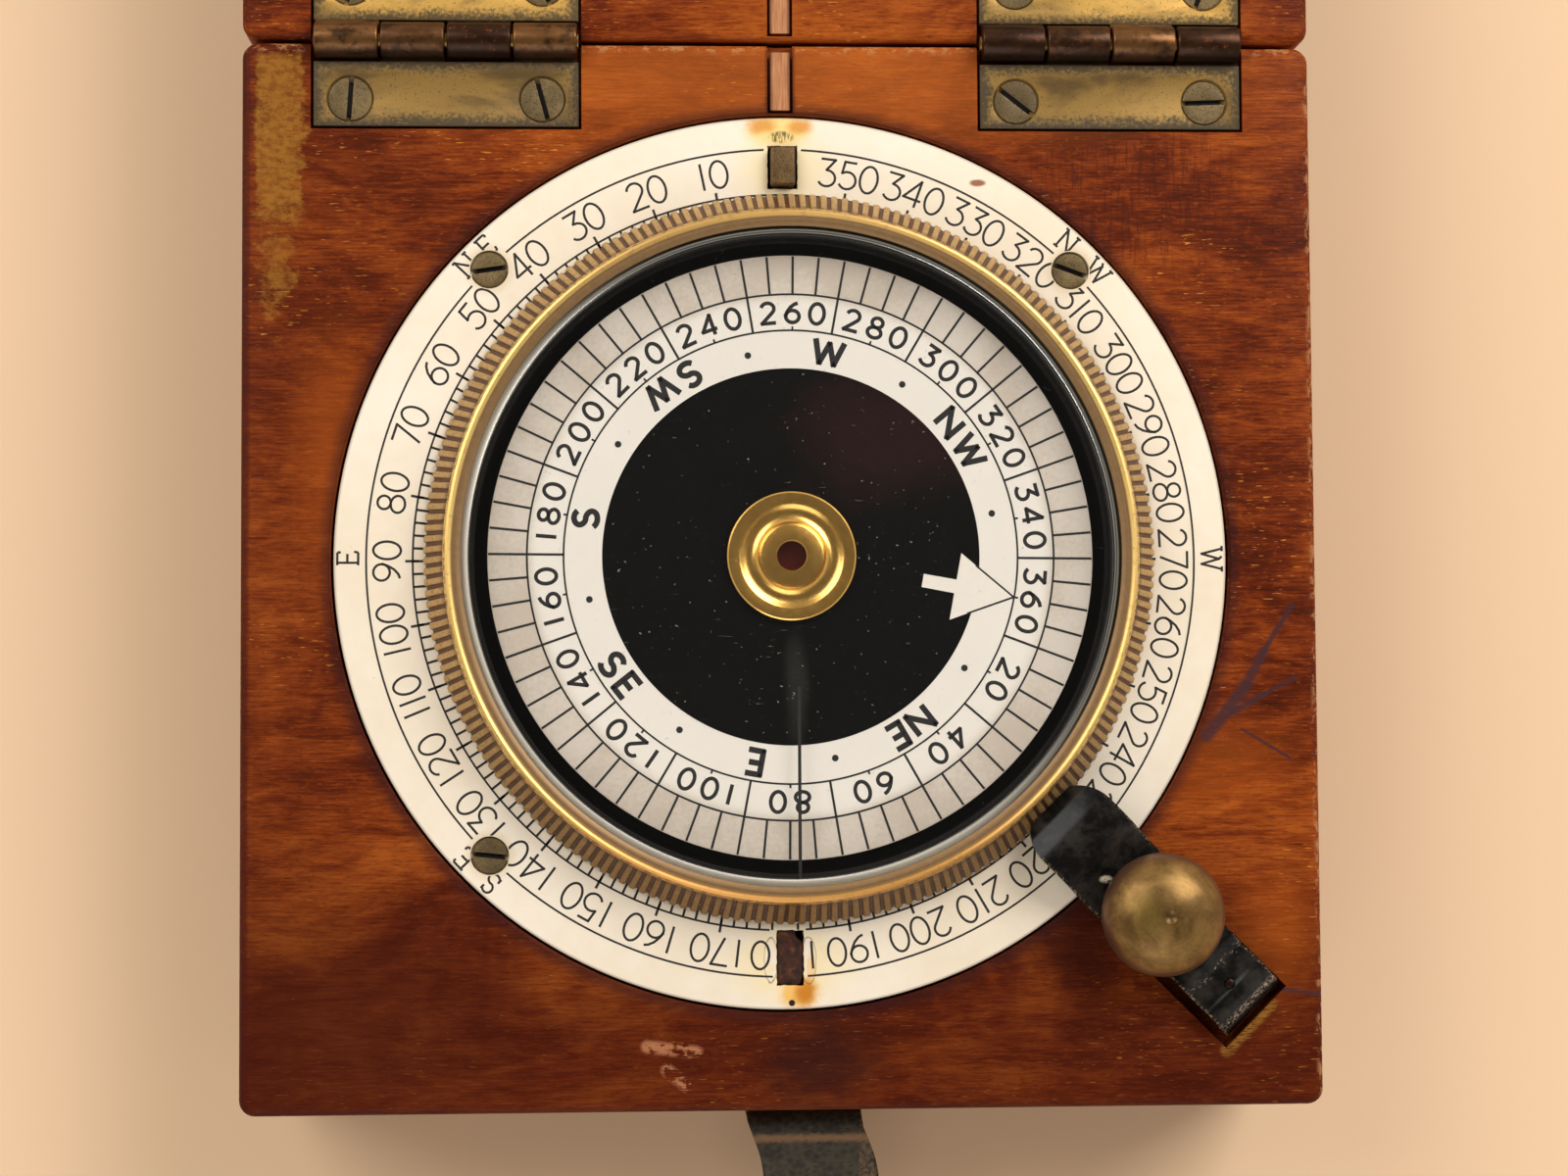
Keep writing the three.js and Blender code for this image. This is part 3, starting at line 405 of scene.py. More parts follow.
class Finish:
    """A material while its nodes are laid."""

    def __init__(self, name):
        self.material = bpy.data.materials.new(name)
        self.material.use_nodes = True
        self.tree = self.material.node_tree
        self.tree.nodes.clear()
        coordinates = self.node("ShaderNodeTexCoord", {})
        inputs = {0: coordinates.outputs["Object"], "Scale": 1 / MM}
        self.point = self.node("ShaderNodeVectorMath", inputs, operation="SCALE").outputs[0]
        self.split(self.point)

    def split(self, point):
        """Keeps the three parts of a point for the arithmetic."""
        parts = self.node("ShaderNodeSeparateXYZ", {0: point})
        self.x, self.y, self.z = [Value(self, socket) for socket in parts.outputs]

    @classmethod
    def around(cls, tree):
        """Lays nodes in the tree of the surroundings, where the point is a direction."""
        made = cls.__new__(cls)
        made.tree = tree
        made.split(made.node("ShaderNodeTexCoord", {}).outputs["Generated"])
        return made

    def node(self, kind, inputs, **settings):
        """Adds a node, sets it, then fills or links its sockets."""
        made = self.tree.nodes.new(kind)
        for key, value in settings.items():
            setattr(made, key, value)
        for key, value in inputs.items():
            if isinstance(value, Value):
                value = value.socket
            if isinstance(value, bpy.types.NodeSocket):
                self.tree.links.new(value, made.inputs[key])
            else:
                made.inputs[key].default_value = value
        return made

    def math(self, operation, *values):
        made = self.node("ShaderNodeMath", dict(enumerate(values)), operation=operation)
        return Value(self, made.outputs[0])

    def step(self, value, low, high):
        """0 below low and 1 above high, with a soft passage."""
        inputs = {"Value": value, "From Min": low, "From Max": high}
        made = self.node("ShaderNodeMapRange", inputs, interpolation_type="SMOOTHSTEP")
        return Value(self, made.outputs["Result"])

    def fall(self, value, low, high):
        """1 below low and 0 above high."""
        return 1 - self.step(value, low, high)

    def mapped(self, scale, shift=(0, 0, 0), turn=0.0):
        """The point, turned about Z, shifted and scaled."""
        inputs = {"Vector": self.point, "Scale": scale, "Location": shift}
        inputs["Rotation"] = (0, 0, math.radians(turn))
        return self.node("ShaderNodeMapping", inputs).outputs[0]

    def noise(self, scale, detail=3.0, roughness=0.5, distortion=0.0, shift=(0, 0, 0), turn=0.0):
        """Cloudy noise at so many to the millimetre, in all directions or in each of the three."""
        scale = scale if isinstance(scale, tuple) else (scale, scale, scale)
        inputs = {"Vector": self.mapped(scale, shift, turn), "Scale": 1.0}
        inputs.update({"Detail": detail, "Roughness": roughness, "Distortion": distortion})
        return Value(self, self.node("ShaderNodeTexNoise", inputs).outputs[0])

    def mix(self, first, second, amount):
        """A colour between two."""
        return self.node("ShaderNodeMix", {0: amount, 6: first, 7: second}, data_type="RGBA").outputs[2]

    def lay(self, red, green, blue, amount):
        """Lays a colour over the base colour."""
        self.base = self.mix(self.base, shade(red, green, blue), amount)

    def ramp(self, value, stops):
        """A colour that passes through the stops as a value rises."""
        made = self.node("ShaderNodeValToRGB", {0: value})
        elements = made.color_ramp.elements
        while len(elements) < len(stops):
            elements.new(0.5)
        for element, (position, colour) in zip(elements, stops):
            element.position = position
            element.color = colour
        return made.outputs[0]

    def radius(self, x=0.0, y=0.0, rx=1.0, ry=1.0):
        """The distance in plan from a point, in shares of two reaches."""
        across = (self.x - x) / rx
        along = (self.y - y) / ry
        return (across * across + along * along).math("SQRT")

    def stroke(self, start, end, width):
        """1 on a straight stroke between two points in plan, fading to 0 at width from it."""
        dx, dy = end[0] - start[0], end[1] - start[1]
        square = dx * dx + dy * dy
        share = ((self.x - start[0]) * dx + (self.y - start[1]) * dy) / square
        share = share.math("MINIMUM", 1.0).math("MAXIMUM", 0.0)
        across = self.x - start[0] - share * dx
        along = self.y - start[1] - share * dy
        far = (across * across + along * along).math("SQRT")
        return self.fall(far, width * 0.3, width)

    def bump(self, height, strength, distance=0.1):
        """A normal that follows a height, its reach in millimetres."""
        inputs = {"Height": height, "Strength": strength, "Distance": distance * MM}
        return self.node("ShaderNodeBump", inputs).outputs[0]

    def close(self, **inputs):
        """Ends the material in a surface shader that takes the base colour and these inputs."""
        inputs = {key.title(): value for key, value in inputs.items()}
        if "Specular" in inputs:
            inputs["Specular IOR Level"] = inputs.pop("Specular")
        shader = self.node("ShaderNodeBsdfPrincipled", {"Base Color": self.base, **inputs})
        self.node("ShaderNodeOutputMaterial", {"Surface": shader.outputs[0]})
        return self.material


# Finishes


def mahogany(name, flip=False):
    """Reddish brown wood with its grain along X, flecked, worn and scratched as the case's top is, with
    painted light and shade.
    """
    f = Finish(name)
    colours = bpy.context.scene.compass_colours
    broad = f.noise((0.03, 0.05, 0.05), 4, 0.6, 1.2)
    figure = f.noise((0.12, 0.4, 0.4), 5, 0.65, 0.9, shift=(5, 3, 0))
    grain = f.noise((0.3, 4.4, 4.4), 4, 0.7, 0.25)
    tone = broad * 0.5 + figure * 0.38 + grain * 0.34 - 0.11
    end_grain = f.step(f.x.math("ABSOLUTE"), 54.6, 54.95)
    streaks = f.noise((1.0, 0.16, 3.2), 4, 0.7, 0.2, shift=(0, 6, 3))
    tone = tone * (1 - end_grain * 0.7) + end_grain * 0.7 * (streaks * 0.3 + 0.315)
    f.base = f.ramp(
        tone,
        [
            (0.35, linear([c * 0.66 for c in colours.mahogany_dark])),
            (0.44, linear(colours.mahogany_dark)),
            (0.52, linear(colours.mahogany)),
            (0.64, linear(colours.mahogany_light)),
        ],
    )
    curl = f.noise((2.4, 0.22, 0.22), 3, 0.6, 0.5, shift=(2, 9, 0), turn=6)
    curl_place = f.fall(f.radius(36, 38, 16, 12), 0.3, 1.0)
    f.lay(74, 26, 10, f.fall(curl, 0.4, 0.5) * curl_place * 0.6)
    pores = f.noise((0.85, 8.0, 8.0), 2, 0.5, 0.0, shift=(0, 31, 4))
    f.lay(56, 18, 4, f.fall(pores, 0.36, 0.42) * 0.45)
    rubbed = f.step(f.noise((0.9, 3.0, 3.0), 4, 0.7, shift=(1, 4, 4)), 0.56, 0.68)
    f.lay(190, 96, 22, rubbed * 0.28)
    flecks = f.step(f.noise((0.75, 5.4, 5.4), 1, 0.5, shift=(11, 7, 2)), 0.685, 0.73)
    patches = f.step(f.noise((0.05, 0.09, 0.09), 2, 0.5, shift=(3, 1, 8)), 0.47, 0.58)
    f.lay(208, 130, 48, flecks * patches * 0.8)
    if flip:
        # painted shade: the lid's wood is darker low down, in its recess
        f.lay(70, 24, 10, f.fall(f.z, 21.7, 24.0) * 0.35)
    else:
        case_wear(f, broad, pores)
    scratches = f.step(f.noise((0.5, 7.0, 2.0), 3, 0.6, 1.5, shift=(8, 2, 0), turn=35), 0.72, 0.75)
    f.lay(190, 122, 66, scratches * 0.25)
    height = grain * 0.5 + pores * 0.5 - flecks * 0.4
    return f.close(
        roughness=0.36 + figure * 0.25 + flecks * 0.15,
        specular=0.08,
        normal=f.bump(height, 0.3, 0.08),
    )


def case_wear(f, broad, pores):
    """Adds the case's worn, stained and scratched places to the colour of its wood, with painted shade towards
    the front, the left and the lower left and round the ring's recess, painted light towards the back and in
    orange patches of sheen, and pale edges that are part wear and part painted highlight.
    """
    top = f.step(f.z, 27.2, 27.8)
    ragged = (broad - 0.5) * 6
    rough = f.noise((0.45, 0.6, 0.6), 5, 0.7, shift=(7, 7, 7)) - 0.5
    # painted shade: the top darkens towards the front, away from the lights
    low = f.fall(f.y + (broad - 0.5) * 40, -47, -22)
    f.lay(60, 14, 2, low * 0.62)
    # painted shade: the top darkens towards the left
    f.lay(72, 24, 4, f.fall(f.x + ragged * 1.5, -52, -24) * top * 0.3)
    # painted shade in the lower left corner of the top
    shaded_lower_left = f.fall(f.radius(-46, -46, 34, 26) + ragged * 0.06, 0.1, 1.0)
    f.lay(62, 16, 4, shaded_lower_left * top * 0.45)
    # painted light: the top is lighter towards the back, facing the lights
    painted_back_light = f.fall(f.radius(4, 50, 52, 9), 0.3, 1.15)
    f.lay(178, 92, 30, painted_back_light * top * 0.45)
    # painted sheen: orange patches of light on the wood's figure
    for x, y, rx, ry in ((43, -22, 12, 7), (50, -38, 6, 9), (-45, 10, 6, 16)):
        painted_sheen = f.fall(f.radius(x, y, rx, ry) + ragged * 0.2, 0.2, 1.1)
        f.lay(176, 84, 20, painted_sheen * top * 0.35)
    front_stain = f.fall(f.radius(3.5, -51, 9, 6.5) + rough * 0.9, 0.15, 1.0)
    f.lay(44, 17, 12, front_stain * top * 0.75)
    ring_shade = f.fall(f.radius(30, -38, 13, 8) + ragged * 0.12, 0.2, 1.0)
    f.lay(48, 16, 8, ring_shade * top * 0.5)
    across = f.x + rough * 2.2
    gold = f.step(across, -53.8, -53.3) * f.fall(across + rough * 3.0, -49.2, -48.4)
    gold = gold * f.step(f.y + rough * 14, 33.5, 37) * f.fall(f.y + rough * 2, 51.6, 52.3)
    drips = f.fall(f.radius(-51.5, 29.5, 2.4, 7) + rough * 2.6, 0.35, 0.8) * 0.75
    speckle = 0.35 + f.step(f.noise((1.1, 1.6, 1.6), 4, 0.75, shift=(2, 2, 1)), 0.36, 0.6) * 0.65
    worn = gold.math("MAXIMUM", drips) * speckle
    f.lay(150, 100, 34, worn * top * 0.85)
    # painted shadow: a dark ring on the wood round the dial's recess
    rim = f.step(f.radius(), 45.7, 46.1) * f.fall(f.radius(), 46.1, 47.6)
    f.lay(46, 20, 20, rim * top * 0.6)
    # painted shade on the walls inside the recess
    hollow = f.fall(f.z, 26.3, 27.9)
    f.lay(40, 20, 26, hollow * f.fall(f.radius(), 45.9, 46.3) * 0.85)
    beside_line = f.fall((f.x.math("ABSOLUTE") - 1.2).math("ABSOLUTE"), 0.1, 0.5)
    f.lay(60, 26, 14, beside_line * f.step(f.y, 45.5, 46.5) * top * 0.7)
    ring_end = f.fall(f.radius(0, 47.3, 2.2, 1.6), 0.3, 1.0)
    f.lay(52, 24, 16, ring_end * top * 0.8)
    # painted shade along the case's left edge
    shaded_left_edge = f.fall(f.x + rough * 0.5, -54.4, -53.9)
    f.lay(66, 18, 10, shaded_left_edge * 0.7)
    for start, end, width in (
        ((52.4, -4.8), (49.4, -9.5), 0.42),
        ((49.4, -9.5), (47.4, -13.2), 0.75),
        ((47.4, -13.2), (43.4, -18.2), 0.95),
        ((52.7, -12.2), (49.2, -14.0), 0.32),
        ((49.2, -14.0), (46.0, -15.8), 0.5),
        ((52.0, -20.5), (47.0, -17.5), 0.22),
        ((50.2, -44.0), (55.0, -44.6), 0.3),
    ):
        line = f.stroke(start, end, width)
        f.lay(66, 40, 42, line * top * (0.4 + pores * 0.9))
    rim_wear = f.stroke((49.6, -45.6), (45.0, -50.2), 0.9) * f.step(pores, 0.3, 0.6)
    f.lay(150, 104, 40, rim_wear * top * 0.75)
    for start, end in (((-14, -49.2), (-9, -49.8)), ((-12, -51.6), (-10, -53.2))):
        line = f.stroke(start, end, 0.9) * f.step(rough + pores * 0.3, 0.12, 0.2)
        f.lay(186, 122, 84, line * top * 0.7)
    # pale edges at the back and right: part wear, part painted highlight where they face the lights
    edges = f.step(f.y, 51.9, 52.9) * f.step(f.z, 27.1, 27.7)
    edges = edges.math("MAXIMUM", f.step(f.x, 54.1, 54.8) * f.step(f.z, 26.9, 27.5))
    pale = edges * f.step(f.noise((0.8, 0.8, 2.0), 3, 0.7, shift=(4, 4, 4)), 0.5, 0.6)
    f.lay(190, 136, 88, pale * 0.6)


def pale_inlay(name):
    """Tan-pink wood of the direction strips, dark along both edges."""
    f = Finish(name)
    grain = f.noise((4.0, 0.35, 4.0), 4, 0.6)
    tones = [(0.3, shade(150, 98, 62)), (0.55, shade(186, 124, 80)), (0.75, shade(208, 146, 98))]
    f.base = f.ramp(grain, tones)
    edge = f.step(f.x.math("ABSOLUTE"), 0.62, 1.0)
    f.lay(92, 48, 28, edge * 0.85)
    dirt = f.step(f.noise((0.9, 0.5, 0.9), 4, 0.7, shift=(3, 3, 3)), 0.56, 0.72)
    f.lay(116, 70, 42, dirt * 0.5)
    return f.close(roughness=0.5, specular=0.3, normal=f.bump(grain, 0.15, 0.05))


def ivorine(name):
    """Off-white ring with rust stains at its slots, yellowing, chips, specks of dirt and painted shade along
    its outer edge.
    """
    f = Finish(name)
    cloud = f.noise(0.05, 3, 0.5)
    mottle = f.noise(0.5, 4, 0.6)
    colours = bpy.context.scene.compass_colours
    f.base = f.ramp(
        cloud * 0.7 + mottle * 0.3,
        [(0.35, linear(colours.ivorine_shade)), (0.62, linear(colours.ivorine))],
    )
    wobble = (f.noise(0.7, 3, 0.6, shift=(9, 1, 1)) - 0.5) * 1.3
    yellow_north = f.fall(f.radius(0.3, 40.5, 6.5, 5.5) + wobble * 0.3, 0.3, 1.0)
    yellow_south = f.fall(f.radius(0.6, -41, 8.5, 5.0) + wobble * 0.3, 0.3, 1.0)
    f.lay(240, 216, 150, yellow_north.math("MAXIMUM", yellow_south) * 0.55)
    halo = f.fall(f.radius(-0.1, 44.4, 4.4, 2.4) + wobble * 0.4, 0.35, 1.0)
    core_west = f.fall(f.radius(-1.9, 44.8, 2.2, 1.2) + wobble * 0.5, 0.25, 1.0)
    core_east = f.fall(f.radius(2.0, 44.7, 2.0, 1.1) + wobble * 0.5, 0.25, 1.0)
    f.lay(246, 206, 124, halo * 0.95)
    f.lay(212, 140, 38, core_west.math("MAXIMUM", core_east) * 0.85)
    residue = f.fall(f.radius(0.1, 43.6, 1.5, 0.75), 0.6, 1.0)
    streak = f.step(f.noise((3.5, 0.8, 1.0), 3, 0.6, shift=(1, 2, 3)), 0.42, 0.55)
    f.lay(92, 84, 40, residue * streak * 0.9)
    chips = f.fall(f.radius(-1.45, -40.7, 0.62, 2.3) + wobble * 0.28, 0.72, 0.98)
    chips = chips.math("MAXIMUM", f.fall(f.radius(2.35, -40.4, 0.7, 2.5) + wobble * 0.28, 0.72, 0.98))
    f.lay(240, 224, 206, chips * f.step(mottle, 0.38, 0.52) * 0.85)
    rust = f.fall(f.radius(1.4, -43.9, 2.9, 2.3) + wobble * 0.5, 0.35, 1.0)
    rust = rust.math("MAXIMUM", f.fall(f.radius(2.6, -41.6, 0.7, 2.2) + wobble * 0.4, 0.3, 1.0) * 0.6)
    rust_deep = f.fall(f.radius(2.0, -43.9, 1.5, 1.8) + wobble * 0.5, 0.3, 1.0)
    f.lay(236, 178, 76, rust * 0.9)
    f.lay(196, 118, 16, rust_deep * 0.95)
    dot = f.fall(f.radius(0.65, -44.95, 0.38, 0.38), 0.7, 1.0)
    f.lay(30, 16, 8, dot)
    chip = f.fall(f.radius(20.3, 38.9, 1.1, 0.5) + wobble * 0.4, 0.5, 0.95)
    f.lay(140, 76, 26, chip * 0.95)
    for x, rx, ry in ((-1.45, 0.75, 2.45), (2.35, 0.85, 2.65)):
        outline = f.radius(x, -40.6, rx, ry) + wobble * 0.3
        crack = f.fall(outline, 0.9, 0.97) * f.step(outline, 0.84, 0.9)
        f.lay(110, 84, 60, crack * 0.75)
    specks = f.fall(f.noise(2.4, 2, 0.5, shift=(6, 6, 0)), 0.19, 0.24)
    f.lay(128, 92, 60, specks * 0.6)
    # painted shade along the ring's outer edge, beside the gap in the wood
    rim = f.step(f.radius(), 45.25, 45.6)
    f.lay(120, 96, 84, rim * 0.45)
    for x, y in DIAL_CORNERS:
        round_screw = f.fall(f.radius(x, y) + wobble * 0.3, 2.0, 3.0)
        f.lay(214, 190, 150, round_screw * 0.5)
    return f.close(roughness=0.42 + mottle * 0.15, specular=0.35, normal=f.bump(mottle, 0.06, 0.05))


def plain(name, colour, roughness=0.5, metallic=0.0, spread=0.12, bump=0.1):
    """A finish of one colour that varies a little in lightness and gloss."""
    f = Finish(name)
    cloud = f.noise(1.5, 4, 0.6)
    low = [c * (1 - spread) for c in colour[:3]] + [1.0]
    high = [min(1.0, c * (1 + spread)) for c in colour[:3]] + [1.0]
    f.base = f.mix(low, high, cloud)
    return f.close(
        roughness=roughness + cloud * 0.1,
        metallic=metallic,
        normal=f.bump(cloud, bump, 0.05),
    )


def tarnished(name, clean, dull, spots, metallic=0.75):
    """Old brass: cloudy, dotted with dark spots and fine scratches."""
    f = Finish(name)
    cloud = f.noise(0.22, 4, 0.6, 0.4)
    fine = f.noise(2.6, 4, 0.7)
    f.base = f.mix(dull, clean, f.step(cloud * 0.75 + fine * 0.25, 0.38, 0.66))
    pits = f.fall(f.noise(5.0, 3, 0.6, shift=(4, 9, 1)), 0.36, 0.46)
    f.base = f.mix(f.base, spots, pits * 0.6)
    lines = f.step(f.noise((0.5, 9.0, 3.0), 2, 0.5, 0.4, shift=(2, 7, 0), turn=20), 0.66, 0.74)
    f.base = f.mix(f.base, clean, lines * 0.35)
    return f.close(
        roughness=0.42 + cloud * 0.2 + pits * 0.15,
        metallic=metallic,
        normal=f.bump(fine - pits * 0.8, 0.18, 0.06),
    )


def leaf_brass(name, clean, dull, side):
    """Old brass of a hinge's leaf, black with dirt at its edges: side is -1 on the case and 1 on the lid."""
    f = Finish(name)
    cloud = f.noise((0.1, 0.22, 0.22), 4, 0.6, 0.4)
    fine = f.noise(2.6, 4, 0.7)
    f.base = f.mix(dull, clean, f.step(cloud, 0.36, 0.58))
    pits = f.fall(f.noise(4.0, 3, 0.6, shift=(4, 9, 1)), 0.33, 0.4)
    f.lay(48, 38, 22, pits * 0.7)
    from_middle = f.x.math("ABSOLUTE") - HINGE_OFFSET
    near_side = HINGE_HALF - from_middle.math("ABSOLUTE")
    near_end = (f.y - (HINGE_Y + side * HINGE_DEEP)).math("ABSOLUTE")
    near_axle = (f.y - HINGE_Y).math("ABSOLUTE") - 2.0
    near = near_side.math("MINIMUM", near_end).math("MINIMUM", near_axle)
    dirt = f.fall(near - (fine - 0.5) * 3.4 - (cloud - 0.5) * 3.0, 0.15, 1.5)
    f.lay(48, 40, 26, dirt * 0.85)
    specks = f.step(f.noise(3.4, 2, 0.5, shift=(8, 1, 3)), 0.7, 0.74) * dirt
    f.lay(150, 136, 110, specks * 0.7)
    return f.close(
        roughness=0.4 + cloud * 0.2 + dirt * 0.25,
        metallic=0.55 - dirt * 0.4,
        normal=f.bump(fine - pits * 0.8 - dirt * 0.4, 0.2, 0.06),
    )


def knuckle_brass(name):
    """Brown brass of the hinges' barrels, each knuckle a shade of its own, with painted shade along its lower
    side.
    """
    f = Finish(name)
    fine = f.noise(1.6, 4, 0.7)
    cloud = f.noise((0.35, 0.5, 0.5), 4, 0.6, 0.6)
    step = f.x.math("ABSOLUTE") / (HINGE_HALF / 2) - 0.067 + f.step(f.x, -1, 1) * 20
    tint = f.node("ShaderNodeTexWhiteNoise", {"W": step.math("FLOOR")}, noise_dimensions="1D")
    tint = Value(f, tint.outputs[0]) * 0.75 + cloud * 0.4
    f.base = f.mix(shade(58, 32, 16), shade(122, 82, 44), f.step(tint, 0.35, 0.9))
    f.lay(42, 26, 18, f.fall(cloud * 0.7 + fine * 0.3, 0.38, 0.52) * 0.75)
    f.lay(164, 96, 34, f.step(fine, 0.58, 0.7) * 0.5)
    # painted shade along the knuckles' lower side, away from the lights
    low = f.fall(f.y + (fine - 0.5), 51.9, 53.0)
    f.lay(30, 19, 12, low * 0.75)
    return f.close(roughness=0.24 + cloud * 0.2, metallic=0.75, normal=f.bump(fine, 0.15, 0.06))


def milled(name, bright, dim):
    """Brass of the bezel's teeth, with painted shade that darkens it towards the front and a painted shadow
    where the grooves end at the ridge.
    """
    f = Finish(name)
    fine = f.noise(3.2, 4, 0.7)
    # painted shade: the teeth darken towards the front, away from the lights
    front = f.fall(f.y + (fine - 0.5) * 10, -31, -8)
    f.base = f.mix(bright, dim, front)
    f.lay(104, 78, 46, f.fall(fine, 0.38, 0.48) * 0.55)
    f.lay(222, 192, 150, f.step(fine, 0.6, 0.7) * 0.5)
    # painted shadow where the grooves end under the ridge
    groove_end_shadow = f.fall(f.radius(BOWL_X, BOWL_Y), 35.15, 35.6) * f.step(fine, 0.42, 0.56)
    f.lay(66, 40, 18, groove_end_shadow * 0.85)
    return f.close(roughness=0.5, metallic=0.35, normal=f.bump(fine, 0.25, 0.06))


def bezel_ridge(name):
    """Polished brass of the bezel's smooth ridge, with painted shade in its groove and a painted shadow of the
    teeth's ends along its outer edge; painted light leaves it brightest to the sides.
    """
    f = Finish(name)
    away = f.radius(BOWL_X, BOWL_Y)
    fine = f.noise(1.4, 4, 0.6)
    colours = bpy.context.scene.compass_colours
    # painted shade: browner towards the front and duller towards the back, brightest to the sides
    front = f.fall(f.y, -33, -14)
    f.base = f.mix(linear(colours.gold), shade(196, 142, 72), front)
    f.lay(206, 160, 90, f.step(f.y, 20, 33) * 0.7)
    # painted shade in the ridge's inner groove
    f.lay(104, 72, 26, f.fall(away, 34.15, 34.4) * 0.85)
    # painted shadow where the teeth's grooves end, speckled along the ridge's outer edge
    speckle = f.step(away, 34.75, 35.0) * f.step(fine, 0.45, 0.58)
    f.lay(104, 68, 30, speckle * 0.7)
    f.lay(150, 110, 60, f.fall(fine, 0.36, 0.44) * 0.3)
    return f.close(roughness=0.3 + fine * 0.1, metallic=0.55, normal=f.bump(fine, 0.08, 0.05))


def knob_brass(name):
    """Dull bronze-brown brass of the thumb knob, with the faint rings of its turning and a painted highlight
    on its left side.
    """
    f = Finish(name)
    knob_x, knob_y = clamp_place(KNOB)
    away = f.radius(knob_x, knob_y)
    cloud = f.noise(0.3, 4, 0.6, 0.5)
    fine = f.noise(3.0, 4, 0.7)
    lathe = (away * 13.0 + cloud * 5).math("SINE") * 0.5 + 0.5
    f.base = f.mix(shade(102, 74, 34), shade(146, 112, 60), f.step(cloud * 0.8 + fine * 0.2, 0.36, 0.66))
    # painted highlight on the knob's left side
    f.lay(146, 120, 54, f.fall(f.radius(knob_x - 2.2, knob_y + 0.4, 1.8, 2.6), 0.3, 1.0) * 0.5)
    f.lay(90, 66, 44, lathe * 0.12)
    rim = f.step(away, 5.2, 6.1)
    f.lay(120, 86, 70, rim * 0.6)
    dimple = f.fall(away, 0.3, 1.0)
    f.lay(70, 50, 26, dimple * 0.6)
    return f.close(
        roughness=0.33 + cloud * 0.15,
        metallic=0.75,
        normal=f.bump(lathe * 0.3 + fine * 0.5, 0.08, 0.04),
    )


def glass(name):
    """Clear glass that shows only its reflections, its ground bevel painted with reflections that make it
    palest at the front and left.
    """
    f = Finish(name)
    fresnel = f.node("ShaderNodeFresnel", {"IOR": 1.5}).outputs[0]
    smear = f.noise((0.1, 0.25, 0.2), 4, 0.7, 0.8)
    scratch = f.step(f.noise((0.6, 8.0, 2.0), 3, 0.6, 0.8, turn=-30), 0.72, 0.75)
    dust = f.step(f.noise(3.0, 2, 0.5, shift=(1, 1, 5)), 0.71, 0.75)
    away = f.radius(BOWL_X, BOWL_Y)
    edge = f.step(away, 32.55, 32.75)
    # painted reflections on the ground bevel: pale rings, pale at the front and left, dark at the back and
    # right
    lines = f.step((away * 9.0).math("SINE"), 0.3, 0.9) * 0.5
    pale = f.fall((f.x + f.y) * 0.7, -14, 16)
    bevel = f.mix(shade(70, 66, 58), shade(226, 218, 200), pale.math("MAXIMUM", lines * 0.8))
    back = Value(f, f.node("ShaderNodeNewGeometry", {}).outputs["Backfacing"])
    cover = Value(f, fresnel) * 0.8 * (1 - back) + smear * 0.012 + scratch * 0.1 + dust * 0.2 + edge * 0.75
    f.base = f.mix((0.9, 0.92, 0.9, 1), bevel, edge)
    return f.close(metallic=1 - edge, roughness=0.06 + edge * 0.3, alpha=cover.math("MINIMUM", 1.0))


def card_stock(name):
    """Off-white card, greyer towards its edge."""
    f = Finish(name)
    cloud = f.noise(0.12, 3, 0.5)
    fine = f.noise(2.2, 4, 0.65)
    from_middle = f.radius(BOWL_X, BOWL_Y)
    colours = bpy.context.scene.compass_colours
    f.base = f.mix(linear(colours.card), linear(colours.card_edge), f.step(from_middle, 25.6, 27.2))
    f.lay(236, 226, 212, f.step(cloud * 0.7 + fine * 0.3, 0.42, 0.62) * 0.35)
    spots = f.fall(f.noise(1.4, 2, 0.5, shift=(2, 8, 8)), 0.2, 0.26)
    f.lay(150, 124, 96, spots * 0.5)
    return f.close(roughness=0.6, specular=0.25, normal=f.bump(fine, 0.06, 0.04))


def dull_black(name, base, fleck, roughness=0.4, specular=0.4, dust=0.35):
    """A black surface with faint dust and scratches."""
    f = Finish(name)
    cloud = f.noise(0.25, 4, 0.65)
    specks = f.step(f.noise(4.5, 2, 0.5, shift=(1, 5, 2)), 0.73, 0.78)
    lines = f.step(f.noise((0.7, 10.0, 3.0), 2, 0.5, 1.0, turn=-25), 0.73, 0.77)
    f.base = f.mix(base, fleck, (specks * 0.8 + lines * 0.4 + cloud * 0.08) * dust)
    return f.close(
        roughness=roughness + cloud * 0.15,
        specular=specular,
        normal=f.bump(cloud + specks * 0.5, 0.1, 0.05),
    )


def worn_print(name):
    """The card's black middle, with a painted brownish reflection at its upper right, pale specks and fine
    scratches.
    """
    f = Finish(name)
    cloud = f.noise(0.1, 3, 0.6, shift=(4, 2, 0))
    # painted reflection: a brownish sheen at the upper right
    brown = f.fall(f.radius(11, 12, 12, 9) + (cloud - 0.5) * 1.4, 0.2, 1.1)
    f.base = f.mix(shade(7, 7, 5), shade(40, 20, 18), brown * 0.8)
    grey = f.fall(f.radius(1.2, -13.5, 1.8, 7.0) + (cloud - 0.5) * 1.2, 0.3, 1.0)
    f.lay(52, 50, 46, grey * 0.5)
    specks = f.step(f.noise(2.6, 1, 0.5, shift=(1, 5, 2)), 0.745, 0.785)
    lines = f.step(f.noise((0.55, 7.0, 2.0), 2, 0.5, 0.8, turn=-28), 0.735, 0.76)
    patch = f.step(f.noise(0.12, 2, 0.5, shift=(2, 7, 1)), 0.46, 0.6)
    f.lay(176, 168, 152, specks * (0.3 + patch * 0.45))
    f.lay(150, 144, 132, lines * patch * 0.6)
    return f.close(roughness=0.45 + cloud * 0.15, specular=0.06)


